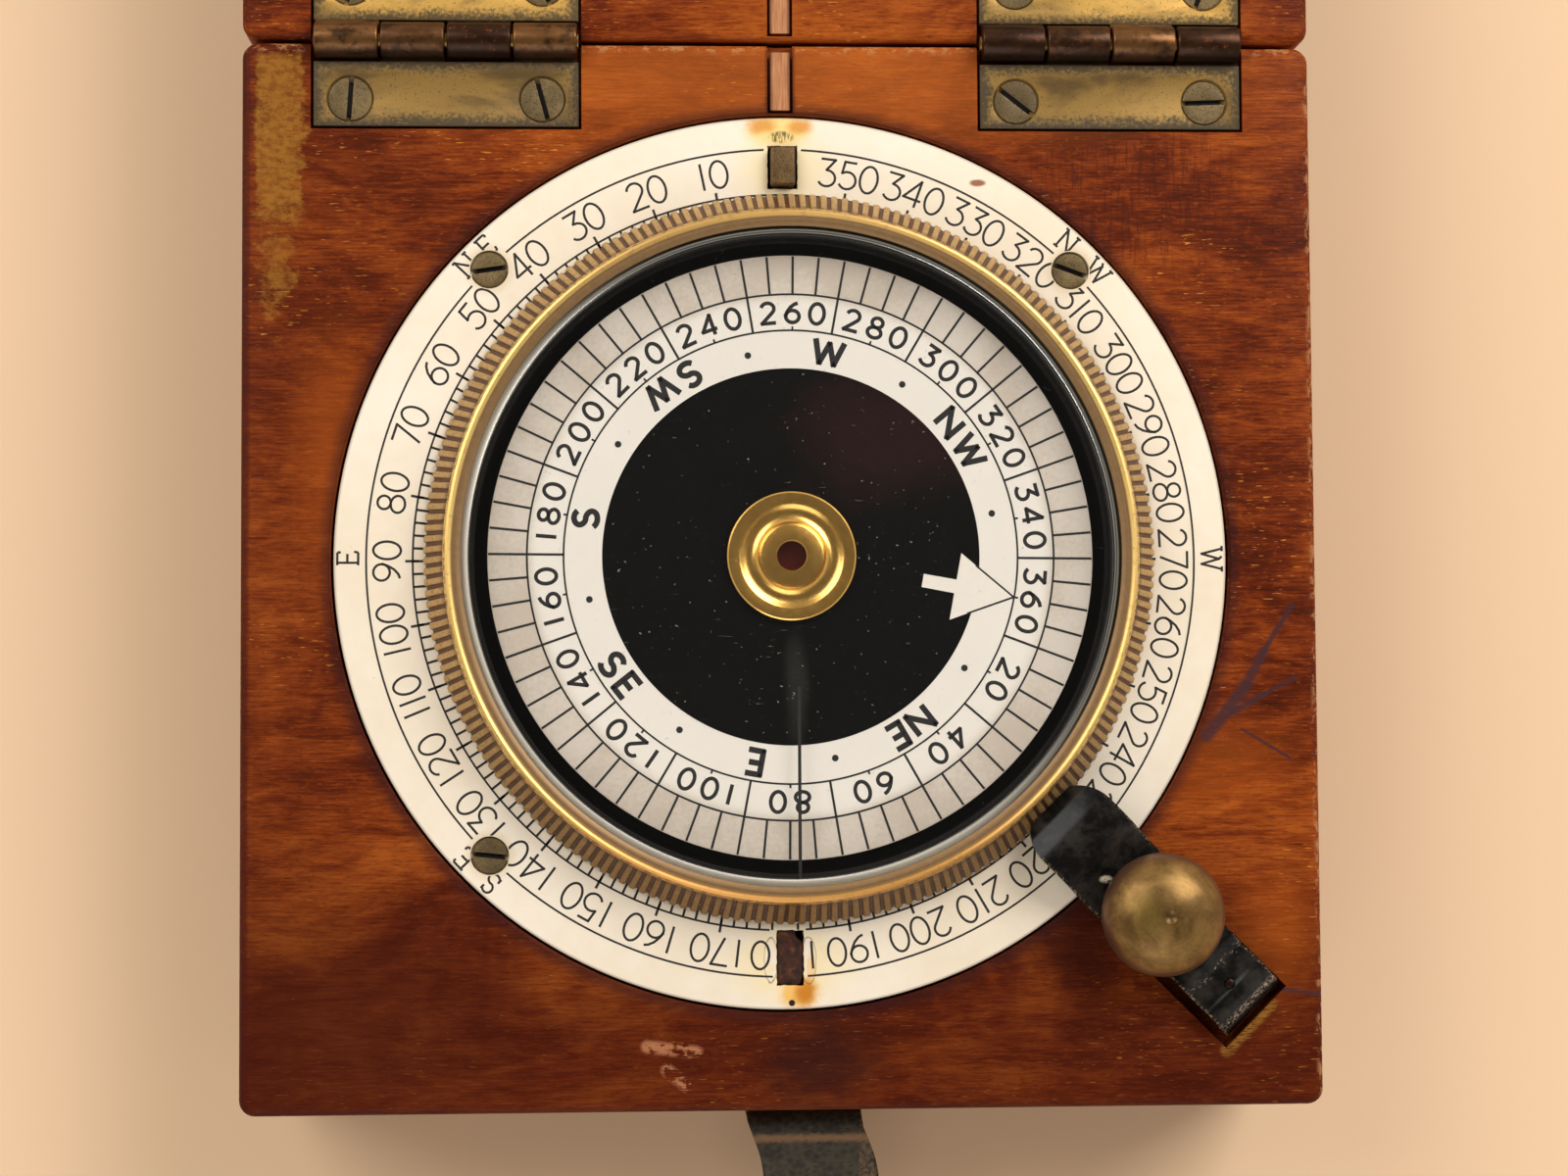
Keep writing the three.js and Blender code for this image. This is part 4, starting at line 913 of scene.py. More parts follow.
def japanned(name):
    """Black japanned steel, worn to tan along its edges, with pale painted highlights on its ridges."""
    f = Finish(name)
    half = math.sqrt(0.5)
    across = (f.x + f.y) * half - CLAMP_OFFSET
    along = (f.x - f.y) * half
    cloud = f.noise(0.4, 4, 0.65)
    fine = f.noise(3.0, 4, 0.7)
    f.base = f.mix(shade(16, 15, 14), shade(46, 42, 38), f.step(cloud, 0.4, 0.7))
    width = f.fall(along, 49.0, 55.4) * 0.8 + 3.8
    edge = f.step(across.math("ABSOLUTE") - width, -0.32, -0.08) * f.step(fine, 0.5, 0.62)
    f.lay(150, 124, 92, edge * 0.7)
    # painted highlights: two pale bands across the strip's bends near its tail
    tail = f.fall((along - 60.2).math("ABSOLUTE"), 0.0, 0.7) * f.step(fine, 0.56, 0.66)
    rear_highlight = f.fall((along - 65.2).math("ABSOLUTE"), 0.0, 0.6) * f.step(fine, 0.45, 0.6)
    f.lay(176, 160, 140, (tail * 0.6).math("MAXIMUM", rear_highlight * 0.7))
    chip = f.fall(f.radius(32.4, -32.6, 0.9, 0.5), 0.4, 1.0) * f.step(fine, 0.35, 0.55)
    f.lay(206, 190, 168, chip)
    return f.close(
        roughness=0.13 + cloud * 0.12 + edge * 0.25,
        specular=0.17,
        normal=f.bump(fine, 0.08, 0.04),
    )


def rusty(name):
    """Dark rusted steel."""
    f = Finish(name)
    cloud = f.noise(1.2, 5, 0.7)
    tones = [(0.35, shade(34, 16, 12)), (0.55, shade(72, 38, 22)), (0.72, shade(128, 70, 34))]
    f.base = f.ramp(cloud, tones)
    return f.close(roughness=0.85, metallic=0.2, normal=f.bump(cloud, 0.6, 0.2))


def leather(name):
    """Olive-black leather, rubbed to tan at the fold and along its edges."""
    f = Finish(name)
    inputs = {"Vector": f.mapped((1.5, 1.5, 1.5)), "Scale": 1.0}
    pebble = f.node("ShaderNodeTexVoronoi", inputs, feature="F1").outputs[0]
    cell = Value(f, pebble)
    cloud = f.noise(0.35, 4, 0.6)
    fine = f.noise(2.0, 4, 0.7)
    f.base = f.mix(shade(34, 29, 21), shade(66, 57, 42), f.step(cloud * 0.6 + cell * 0.4, 0.3, 0.7))
    fold = f.fall((f.y + 59.6 + (fine - 0.5) * 0.8).math("ABSOLUTE"), 0.1, 0.65)
    fold = fold * f.step(f.z, 17.6, 18.4)
    f.lay(140, 102, 66, fold * 0.85)
    side = f.step((f.x - STRAP_X).math("ABSOLUTE"), 5.55, 5.9) * f.step(fine, 0.42, 0.6)
    f.lay(118, 88, 60, side * 0.7)
    cracks = f.fall(f.noise((0.8, 3.0, 3.0), 3, 0.6, 0.6), 0.36, 0.41)
    f.lay(96, 78, 56, cracks * 0.35)
    return f.close(
        roughness=0.55 + cloud * 0.15,
        specular=0.35,
        normal=f.bump(cell * 0.7 + fine * 0.5, 0.4, 0.15),
    )


def make_finishes():
    """Every finish of the compass by name."""
    ink = linear(bpy.context.scene.compass_colours.ink)
    return {
        "case wood": mahogany("case_mahogany"),
        "lid wood": mahogany("lid_mahogany", flip=True),
        "inlay": pale_inlay("pale_inlay"),
        "ivorine": ivorine("ivorine"),
        "engraving": plain("engraving_ink", ink, 0.6, spread=0.35, bump=0.0),
        "print": plain("card_ink", shade(22, 17, 14), 0.7, spread=0.25, bump=0.0),
        "white print": plain("white_print", shade(231, 221, 206), 0.6, spread=0.06, bump=0.0),
        "leaf brass": leaf_brass("leaf_brass", shade(150, 116, 56), shade(106, 82, 44), -1),
        "lid leaf brass": leaf_brass("lid_leaf_brass", shade(196, 152, 72), shade(142, 110, 54), 1),
        "knuckle brass": knuckle_brass("knuckle_brass"),
        "screw brass": tarnished(
            "screw_brass", shade(130, 108, 68), shade(98, 80, 50), shade(50, 40, 24), metallic=0.55
        ),
        "slot dirt": plain("slot_dirt", shade(26, 18, 12), 0.8, spread=0.4),
        "block brass": tarnished("block_brass", shade(140, 112, 70), shade(92, 70, 44), shade(40, 28, 18)),
        "milled land": milled("milled_land", shade(192, 154, 98), shade(136, 100, 52)),
        # the grooves' finish is the milled finish in darker colours, painted shade in the grooves
        "milled groove": milled("milled_groove", shade(98, 62, 34), shade(76, 46, 24)),
        "bezel gold": bezel_ridge("bezel_gold"),
        "bezel brown": plain("bezel_brown", shade(136, 104, 66), 0.4, 0.45, 0.2),
        "polished brass": plain("polished_brass", shade(246, 194, 104), 0.2, 1.0, 0.1, bump=0.04),
        "knob brass": knob_brass("knob_brass"),
        "brass": plain("plain_brass", shade(190, 150, 80), 0.35, 0.9, 0.12),
        "black brass": dull_black("blackened_brass", shade(25, 20, 18), shade(80, 74, 66), 0.45, 0.2, 0.3),
        "black print": worn_print("black_print"),
        "japan": japanned("japanned_steel"),
        "glass": glass("clear_glass"),
        "card": card_stock("printed_card"),
        "rust": rusty("rusty_steel"),
        "steel": plain("bright_steel", shade(170, 168, 164), 0.3, 1.0, 0.12),
        "jewel": plain("jewel_stone", shade(70, 22, 14), 0.12, 0.0, 0.2, bump=0.0),
        "leather": leather("black_leather"),
    }


FINISHES = {}


def finish(name):
    """A finish by name. All of them are made when the first is asked for."""
    if not FINISHES:
        FINISHES.update(make_finishes())
    return FINISHES[name]


def paint_nodes(name, *nodes):
    """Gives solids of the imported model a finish."""
    for node in nodes:
        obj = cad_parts[node]
        for material_slot in obj.material_slots:
            material_slot.material = finish(name)


# Lettering: strokes in a box one high


def arc(cx, cy, rx, ry, start, end, steps=10):
    """Points on part of an ellipse, from one angle in degrees to another."""
    angles = [math.radians(start + (end - start) * i / steps) for i in range(steps + 1)]
    return [(cx + rx * math.cos(a), cy + ry * math.sin(a)) for a in angles]


SIX = [(0.52, 0.96), (0.37, 0.9), (0.21, 0.75), (0.09, 0.54), (0.02, 0.36)]
SIX = [SIX + arc(0.3, 0.3, 0.28, 0.3, 170, -190, 18)]
GLYPHS = {
    "0": (0.6, [arc(0.3, 0.5, 0.3, 0.5, 90, 450, 24)]),
    "1": (0.28, [[(0.14, 0), (0.14, 1)]]),
    "2": (0.6, [arc(0.3, 0.72, 0.27, 0.28, 165, -38, 10) + [(0.02, 0), (0.6, 0)]]),
    "3": (0.58, [[(0.04, 1), (0.54, 1), (0.26, 0.61)] + arc(0.28, 0.3, 0.3, 0.3, 88, -150, 12)]),
    "4": (0.62, [[(0.46, 0), (0.46, 1), (0.0, 0.28), (0.62, 0.28)]]),
    "5": (0.58, [[(0.54, 1), (0.13, 1), (0.08, 0.57)] + arc(0.28, 0.32, 0.3, 0.32, 122, -150, 13)]),
    "6": (0.6, SIX),
    "7": (0.58, [[(0.02, 1), (0.58, 1), (0.22, 0)]]),
    "8": (0.6, [arc(0.3, 0.76, 0.23, 0.24, 270, -90, 16), arc(0.3, 0.26, 0.29, 0.26, 90, 450, 18)]),
    "9": (0.6, [[(0.6 - x, 1 - y) for x, y in SIX[0]]]),
    "N": (0.66, [[(0, 0), (0, 1), (0.66, 0), (0.66, 1)]]),
    "E": (0.5, [[(0.5, 1), (0, 1), (0, 0), (0.5, 0)], [(0, 0.52), (0.43, 0.52)]]),
    "S": (0.56, [arc(0.28, 0.745, 0.25, 0.255, 35, 262, 12) + arc(0.28, 0.255, 0.28, 0.255, 86, -148, 13)]),
    "W": (1.0, [[(0, 1), (0.25, 0), (0.5, 0.86), (0.75, 0), (1.0, 1)]]),
}
SERIFS = {
    "N": [[(-0.13, 0), (0.13, 0)], [(-0.15, 1), (0.05, 1)], [(0.53, 1), (0.79, 1)]],
    "E": [[(-0.12, 0), (0, 0)], [(-0.12, 1), (0, 1)], [(0.5, 0.84), (0.5, 1)], [(0.54, 0.2), (0.5, 0)]],
    "S": [[(0.5, 0.74), (0.5, 0.98)], [(0.02, 0.04), (0.02, 0.28)]],
    "W": [[(-0.13, 1), (0.13, 1)], [(0.38, 1), (0.5, 0.86)], [(0.87, 1), (1.13, 1)]],
}
SHARP_CORNER = 50


def unbroken(points, reach):
    """Splits a stroke at its sharp corners and runs both sides a little past each."""
    pieces, piece = [], [Vector(points[0])]
    for here, there, after in zip(points, points[1:], points[2:]):
        before, behind = Vector(there) - Vector(here), Vector(after) - Vector(there)
        if math.degrees(before.angle(behind)) > SHARP_CORNER:
            pieces.append(piece + [Vector(there) + before.normalized() * reach])
            piece = [Vector(there) - behind.normalized() * reach]
        else:
            piece.append(Vector(there))
    pieces.append(piece + [Vector(points[-1])])
    return pieces


def inked(name, strokes, height, line, stretch=1.0):
    """Strokes drawn flat at the origin: their lowest point on X, their line this wide, in millimetres."""
    parts = []
    for points in strokes:
        spots = [(x * height * stretch, y * height) for x, y in points]
        for piece in unbroken(spots, line * 0.36):
            parts.append(wire("stroke", [(x, y, 0) for x, y in piece]))
    obj = joined(name, parts)
    pick(obj)
    bpy.ops.object.convert(target="CURVE")
    curve = bpy.context.object
    curve.data.bevel_depth = line / 2 * MM
    curve.data.bevel_resolution = 1
    curve.data.use_fill_caps = True
    bpy.ops.object.convert(target="MESH")
    obj = bpy.context.object
    edit(obj)
    bpy.ops.transform.resize(value=(1, 1, 2 * INK_RISE / line), center_override=(0, 0, 0))
    close_shell()
    return leave()


def alphabet(characters, height, line, serif=False, stretch=1.0):
    """One drawn glyph for each character, centred on Y, with its width."""
    made = {}
    for character in sorted(set(characters)):
        width, strokes = GLYPHS[character]
        extra = SERIFS[character] if serif else []
        centred = [[(x - width / 2, y) for x, y in points] for points in strokes + extra]
        glyph = inked("glyph_" + character, centred, height, line, stretch)
        made[character] = (width * height * stretch, glyph)
    return made


def written(text, glyphs, angle, radius, height, gap, clockwise, inward=False):
    """Copies of glyphs along an arc, the text's middle at an angle from +Y, tops outwards or inwards."""
    if inward:
        text = text[::-1]
    widths = [glyphs[character][0] for character in text]
    reach = -(sum(widths) + gap * (len(text) - 1)) / 2
    copies = []
    for character, width in zip(text, widths):
        along = math.degrees((reach + width / 2) / (radius + height / 2))
        reach += width + gap
        turn = -(angle + along) if clockwise else angle - along
        twin = copied(glyphs[character][1], "letter")
        if inward:
            moved(twin, turn=180)
            moved(twin, y=height)
        spin = Matrix.Rotation(math.radians(turn), 4, "Z")
        twin.matrix_world = spin @ Matrix.Translation((0, radius * MM, 0))
        copies.append(apply_place(twin))
    return copies


def clear(glyphs):
    """Removes the drawn glyphs that were copied."""
    for _, obj in glyphs.values():
        bpy.data.objects.remove(obj)


def flat_arc(name, radius, line, start, end, low):
    """A thin flat line round Z, between two angles in degrees from +X."""
    half = line / 2
    near, far, high = radius - half, radius + half, low + INK_RISE
    corners = [(near, low), (far, low), (far, high), (near, high)]
    angle = math.radians(start)
    points = [(r * math.cos(angle), r * math.sin(angle), z) for r, z in corners]
    obj = wire(name, points + [points[0]])
    edit(obj)
    if end - start < 360:
        bpy.ops.mesh.edge_face_add()
    steps = max(4, round((end - start) / 1.5))
    bpy.ops.mesh.spin(steps=steps, angle=math.radians(end - start), center=(0, 0, 0), axis=(0, 0, -1))
    close_shell()
    return leave()


# Sizes and colours that a user may change


def length(text, default, low, high):
    return bpy.props.FloatProperty(
        name=text.capitalize(),
        description="In metres: " + text,
        default=default,
        min=low,
        max=high,
        unit="LENGTH",
        precision=5,
    )


def colour(text, red, green, blue):
    return bpy.props.FloatVectorProperty(
        name=text.capitalize(),
        description="Colour of the " + text,
        default=(red / 255, green / 255, blue / 255),
        min=0,
        max=1,
        subtype="COLOR_GAMMA",
    )


class CompassSizes(bpy.types.PropertyGroup):
    """Sizes of the compass's visible detail."""

    tooth_count: bpy.props.IntProperty(
        name="Milled teeth",
        description="Number of milled teeth round the bezel",
        default=210,
        min=60,
        max=300,
    )
    tooth_depth: length("depth of the milling", 0.00026, 0.0001, 0.0008)
    figure_height: length("height of the dial's figures", 0.0028, 0.001, 0.004)
    figure_line: length("line of the dial's figures", 0.00026, 0.0001, 0.0005)
    card_figure_height: length("height of the card's figures", 0.00208, 0.001, 0.003)
    card_figure_line: length("line of the card's figures", 0.00039, 0.0001, 0.0006)
    camera_distance: length("distance of the camera from the dial", 0.3, 0.1, 2.0)


class CompassColours(bpy.types.PropertyGroup):
    """Colours of the compass's finishes."""

    mahogany: colour("mahogany", 126, 52, 12)
    mahogany_dark: colour("mahogany's dark grain", 90, 30, 6)
    mahogany_light: colour("mahogany's light grain", 166, 82, 24)
    ivorine: colour("dial ring", 241, 227, 206)
    ivorine_shade: colour("dial ring's cloudy places", 233, 215, 187)
    ink: colour("engraving", 30, 22, 14)
    gold: colour("bezel's bright ridge", 236, 196, 116)
    card: colour("card", 230, 221, 207)
    card_edge: colour("card's outer band", 196, 181, 163)
    floor: colour("floor", 238, 202, 164)


# Operators


class COMPASS_OT_stage(bpy.types.Operator):
    """Adds the pale floor, the soft lights and the plain surroundings"""

    bl_idname = "compass.stage"
    bl_label = "Stage"

    def execute(self, context):
        pick()
        bpy.ops.mesh.primitive_plane_add(size=3, location=(0, 0, -0.0001))
        floor = apply_place(context.object)
        floor.name = "floor"
        f = Finish("floor_paper")
        pale = linear(context.scene.compass_colours.floor)
        shader = f.node("ShaderNodeBsdfDiffuse", {"Color": pale})
        f.node("ShaderNodeOutputMaterial", {"Surface": shader.outputs[0]})
        floor.data.materials.append(f.material)
        for name, spot, size, power in (
            ("key_light", (0.67, 0.67, 0.88), 0.72, 12.0),
            ("fill_light", (-0.72, 0.56, 0.88), 0.72, 6.9),
            ("front_light", (-0.16, -0.96, 0.8), 0.8, 3.85),
        ):
            bpy.ops.object.light_add(type="AREA", location=spot)
            lamp = context.object
            lamp.name = name
            lamp.data.size = size
            lamp.data.energy = power
            lamp.rotation_euler = (Vector((0, 0, 0.02)) - Vector(spot)).to_track_quat("-Z", "Y").to_euler()
        world = bpy.data.worlds.new("surroundings")
        context.scene.world = world
        world.use_nodes = True
        world.node_tree.nodes.clear()
        f = Finish.around(world.node_tree)
        steepness = f.z.math("ABSOLUTE")
        inputs = {"Value": steepness, "From Min": 0.3, "From Max": 0.8, "To Min": 0.85, "To Max": 0.13}
        level = f.node("ShaderNodeMapRange", inputs, interpolation_type="SMOOTHSTEP")
        inputs = {"Color": linear((0.97, 0.94, 0.9)), "Strength": level.outputs[0]}
        light = f.node("ShaderNodeBackground", inputs)
        f.node("ShaderNodeOutputWorld", {"Surface": light.outputs[0]})
        context.scene.view_settings.view_transform = "Standard"
        return {"FINISHED"}


class COMPASS_OT_camera(bpy.types.Operator):
    """Adds the camera at the photograph's viewing angle"""

    bl_idname = "compass.camera"
    bl_label = "Camera"

    def execute(self, context):
        away = context.scene.compass_sizes.camera_distance
        aim = Vector((0.1, -2.85, CASE_TOP)) * MM
        back = Vector((-0.05, -0.053, 1)).normalized()
        right = Vector((1, -0.0035, 0))
        up = back.cross(right).normalized()
        right = up.cross(back)
        pick()
        bpy.ops.object.camera_add(location=aim + back * away)
        camera = context.object
        camera.name = "camera"
        camera.rotation_euler = Matrix((right, up, back)).transposed().to_euler()
        camera.data.sensor_width = SENSOR
        camera.data.lens = SENSOR * PIXELS_A_MM * away / MM / PHOTO_WIDTH
        camera.data.clip_start = 0.01
        camera.data.dof.use_dof = False
        context.scene.camera = camera
        return {"FINISHED"}


def wood_block(name, low_y, high_y, low_z, high_z):
    """A wooden block with rounded corners and edges, before it is hollowed."""
    obj = block(name, (-CASE_HALF, CASE_HALF), (low_y, high_y), (low_z, high_z))
    edit(obj)
    choose(obj, lambda a, b: abs(a.z - b.z) > 1, "EDGE")
    bpy.ops.mesh.bevel(offset=1.6 * MM, segments=6)
    choose(obj, lambda a, b: abs(a.z - b.z) < 0.01, "EDGE")
    bpy.ops.mesh.bevel(offset=0.8 * MM, segments=4)
    close_shell()
    return leave()


def hinge_pockets(side):
    """Cutters for the leaves: side is -1 in the case and 1 in the lid."""
    tools = []
    for middle in HINGE_MIDDLES.values():
        along = sorted((HINGE_Y, HINGE_Y + side * 9.1))
        tools.append(block("cutter", (middle - 13.8, middle + 13.8), along, (26.5, ABOVE_TOP)))
        barrel = rod("cutter", 2.15, -13.8, 13.8)
        tools.append(tilted(barrel, 90, "Y", middle, HINGE_Y, HINGE_Z))
        tools += [drill(1.4, 18.2, 27.5, middle + x, HINGE_Y + side * 6.0) for x in HINGE_SCREWS]
    return tools


class COMPASS_OT_case(bpy.types.Operator):
    """Shapes the hollowed wooden case"""

    bl_idname = "compass.case"
    bl_label = "Case"

    def execute(self, context):
        case = wood_block("case_wood", -55.8, 53.2, 0, CASE_TOP)
        recess = turned(
            "cutter",
            [(0, 26.1), (45.9, 26.1), (45.9, 27.7), (46.25, 28.05), (46.25, ABOVE_TOP), (0, ABOVE_TOP)],
            192,
        )
        ledge = drill(38.3, 22.0, ABOVE_TOP, BOWL_X, BOWL_Y, 160)
        bore = drill(34.0, 4.0, ABOVE_TOP, BOWL_X, BOWL_Y, 160)
        tools = [recess, ledge, bore, *hinge_pockets(-1)]
        tools.append(block("cutter", (-STRIP_HALF, STRIP_HALF), (46.1, 54.5), (26.7, ABOVE_TOP)))
        tools.append(block("cutter", *NORTH_SLOT, (24.1, ABOVE_TOP)))
        tools.append(block("cutter", *SOUTH_SLOT, (24.1, ABOVE_TOP)))
        tools += [drill(1.3, 19.3, ABOVE_TOP, x, y) for x, y in DIAL_CORNERS]
        mortise = block("cutter", (55.454, 67.15), (-4.75, 4.1), (25.0, ABOVE_TOP))
        tools.append(moved(mortise, *clamp_place(0), turn=-45))
        tools.append(drill(3.3, 14.4, ABOVE_TOP, *clamp_place(KNOB), 48))
        tools.append(drill(0.9, 22.7, 28.5, *clamp_place(RIVET)))
        for z in NAIL_HEIGHTS:
            tools.append(tilted(rod("cutter", 1.0, 0, 7, 24), 90, "X", STRAP_X, -49.5, z))
        cut(case, *tools)
        smooth(case, 28)
        place(case, "case", "case wood", ("case_block",))
        return {"FINISHED"}


class COMPASS_OT_lid(bpy.types.Operator):
    """Shapes the wooden lid with the grooves of the direction strips, and its stud, and finishes the strips"""

    bl_idname = "compass.lid"
    bl_label = "Lid"

    def execute(self, context):
        lid = wood_block("lid_wood", 53.6, 162.6, 13, CASE_TOP)
        recess = turned(
            "cutter",
            [(0, 21.6), (46.6, 21.6), (46.9, 21.9), (46.9, 27.7), (47.2, 28.05)]
            + [(47.2, ABOVE_TOP), (0, ABOVE_TOP)],
            192,
            0,
            2 * HINGE_Y,
        )
        knob = in_lid(*clamp_place(KNOB))
        pocket = turned(
            "cutter",
            [(0, 18.0), (7.9, 18.0), (8.2, 18.3), (8.2, 27.8), (8.45, 28.05)]
            + [(8.45, ABOVE_TOP), (0, ABOVE_TOP)],
            96,
            *knob,
        )
        slot = block("cutter", (TOE, 67.254), (-5.3, 5.3), (21.6, ABOVE_TOP))
        slot = moved(slot, *in_lid(*clamp_place(0)), turn=45)
        tools = [recess, pocket, slot, *hinge_pockets(1)]
        for low, high, floor in ((54.1, 59.4, 26.7), (60.1, 153.5, 20.3), (154.2, 162.1, 26.7)):
            tools.append(block("cutter", (-STRIP_HALF, STRIP_HALF), (low, high), (floor, ABOVE_TOP)))
        tools.append(tilted(rod("cutter", 1.5, 0, 6, 24), -90, "X", STRAP_X, 158.0, STUD_Z))
        cut(lid, *tools)
        smooth(lid, 28)
        place(lid, "lid", "lid wood", ("lid_block",))
        strips = [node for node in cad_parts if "direction_strip" in node]
        paint_nodes("inlay", *strips)
        stud = turned(
            "stud_turned",
            [(0, -4), (1.2, -4), (1.2, 2.3), (1.35, 2.5), (2.05, 2.5), (2.2, 2.62), (2.2, 2.85)]
            + arc(0, 2.85, 2.2, 0.55, 15, 90, 5)
            + [(0, 3.4)],
            48,
        )
        tilted(stud, -90, "X", STRAP_X, 162.6, STUD_Z)
        place(smooth(stud), "lid", "brass", ("lid_stud",))
        return {"FINISHED"}


class COMPASS_OT_dial(bpy.types.Operator):
    """Shapes the dial ring with its slots and screw holes"""

    bl_idname = "compass.dial"
    bl_label = "Dial ring"

    def execute(self, context):
        ring = turned(
            "dial_ring_shaped",
            [(30, 26.4), (45.5, 26.4), (45.6, 26.5), (45.6, 27.86), (45.5, 27.96), (45.4, 28.0), (30, 28.0)],
            240,
        )
        bore = drill(36.0, 26, 29, BOWL_X, BOWL_Y, 200)
        north = prism("cutter", ragged(*NORTH_SLOT, 0.05), 26, 29)
        south = prism("cutter", ragged(*SOUTH_SLOT, 0.07), 26, 29)
        sink = [(0, 25.5), (1.3, 25.5), (1.3, 26.6), (1.95, 27.5), (2.0, 29), (0, 29)]
        holes = [turned("cutter", sink, 48, x, y) for x, y in DIAL_CORNERS]
        cut(ring, bore, north, south, *holes)
        smooth(ring, 25)
        place(ring, "case", "ivorine", ("dial_ring",))
        return {"FINISHED"}


def dial_lines():
    """The ring's two circles and its divisions."""
    parts = []
    screws = [(45 + 90 * i, 3.3) for i in range(4)]
    gaps = sorted(screws + [(90 - 0.27, 2.6), (270 + 0.68, 2.4)])
    for (here, before), (there, after) in zip(gaps, gaps[1:] + [(gaps[0][0] + 360, gaps[0][1])]):
        parts.append(flat_arc("line", 42.3, 0.2, here + before, there - after, CASE_TOP))
    parts.append(flat_arc("line", 37.6, 0.2, 273.2, 267.6 + 360, CASE_TOP))
    rise = (CASE_TOP, CASE_TOP + INK_RISE)
    short = moved(block("line", (-0.12, 0.12), (36.3, 37.6), rise), turn=2)
    parts.append(around(short, 89, 2))
    stub = moved(block("line", (-0.12, 0.12), (36.95, 37.6), rise), turn=182)
    parts.append(around(stub, 89, 2))
    for start in (10, 190):
        long = moved(block("line", (-0.13, 0.13), (37.0, 38.35), rise), turn=start)
        parts.append(around(long, 17, 10))
    return joined("dial_divisions", parts)


def clear_screws(letters):
    """Cuts letters where a screw's hole goes through them."""
    reach = 42.2
    for letter in letters:
        corners = [letter.matrix_world @ Vector(corner) / MM for corner in letter.bound_box]
        middle = sum(corners, Vector()) / 8
        for i in range(4):
            angle = math.radians(45 + 90 * i)
            screw = Vector((reach * math.cos(angle), reach * math.sin(angle), middle.z))
            if (middle - screw).length < 4.2:
                cut(letter, drill(2.05, 27, 29, screw.x, screw.y, 48), crossing=True)


def engraved(name, letters):
    """Lifts letters to the ring, clears them round the screws and joins them."""
    for letter in letters:
        moved(letter, z=CASE_TOP)
    clear_screws(letters)
    place(joined(name, letters), "case", "engraving")


class COMPASS_OT_engraving(bpy.types.Operator):
    """Draws the ring's divisions, figures and letters"""

    bl_idname = "compass.engraving"
    bl_label = "Engraving"

    def execute(self, context):
        sizes = context.scene.compass_sizes
        place(dial_lines(), "case", "engraving")
        height, line = sizes.figure_height / MM, sizes.figure_line / MM
        figures = alphabet("0123456789", height, line, stretch=1.07)
        letters = []
        for value in range(10, 360, 10):
            if value == 180:
                continue
            letters += written(str(value), figures, value, 38.8, height, 0.42, clockwise=False)
        for character, at in (("1", 183.9), ("0", 176.4)):
            letters += written(character, figures, at, 38.8, height, 0, clockwise=False)
        clear(figures)
        engraved("dial_figures", letters)
        capitals = alphabet("NESW", 2.1, 0.25, serif=True)
        letters = []
        for text, angle, gap in (
            ("E", 89.5, 0),
            ("W", 270, 0),
            ("NE", 45, 1.65),
            ("NW", 314.9, 2.6),
            ("SE", 135.3, 2.6),
            ("SW", 225, 2.4),
        ):
            letters += written(text, capitals, angle, 43.1, 2.1, gap, clockwise=False)
        clear(capitals)
        engraved("dial_letters", letters)
        return {"FINISHED"}


class COMPASS_OT_index_blocks(bpy.types.Operator):
    """Shapes the two blocks that stand in the ring's slots"""

    bl_idname = "compass.index_blocks"
    bl_label = "Index blocks"

    def execute(self, context):
        north = block("north_block_shaped", (-1.05, 1.45), (38.5, 42.4), (24.4, 29.2))
        bevelled(north, 0.22, 3)
        place(smooth(north), "case", "block brass", ("north_index_block",))
        outline = [(-0.8, -43.05), (1.5, -43.1), (1.8, -42.2), (1.8, -38.9)]
        outline += [(1.1, -38.3), (1.0, -37.72), (-0.8, -37.7)]
        south = bevelled(prism("south_block_shaped", outline, 24.4, 27.7), 0.15, 3)
        place(smooth(south, 50), "case", "rust", ("south_index_block",))
        return {"FINISHED"}


def screw(name, head, depth, shank, reach, slot_width):
    """A countersunk slotted screw whose face is at height 0."""
    obj = turned(
        name,
        [(0, -0.12), (head * 0.8, -0.14), (head - 0.12, -0.17), (head, -0.28), (shank, -depth - 0.15)]
        + [(shank, -reach + 1), (0, -reach)],
        48,
    )
    slot = block("cutter", (-head - 1, head + 1), (-slot_width / 2, slot_width / 2), (-0.15 - depth * 0.6, 1))
    cut(obj, slot)
    give(obj, "screw brass", "slot dirt")

    def in_slot(spot, normal):
        level = spot.z > -depth and abs(normal.z) > 0.9
        return abs(spot.y) < slot_width * 0.52 and (level or abs(normal.y) > 0.9)

    edit(obj)
    assign(obj, 1, in_slot)
    leave()
    bevelled(obj, 0.03, 2, 40)
    return smooth(obj)


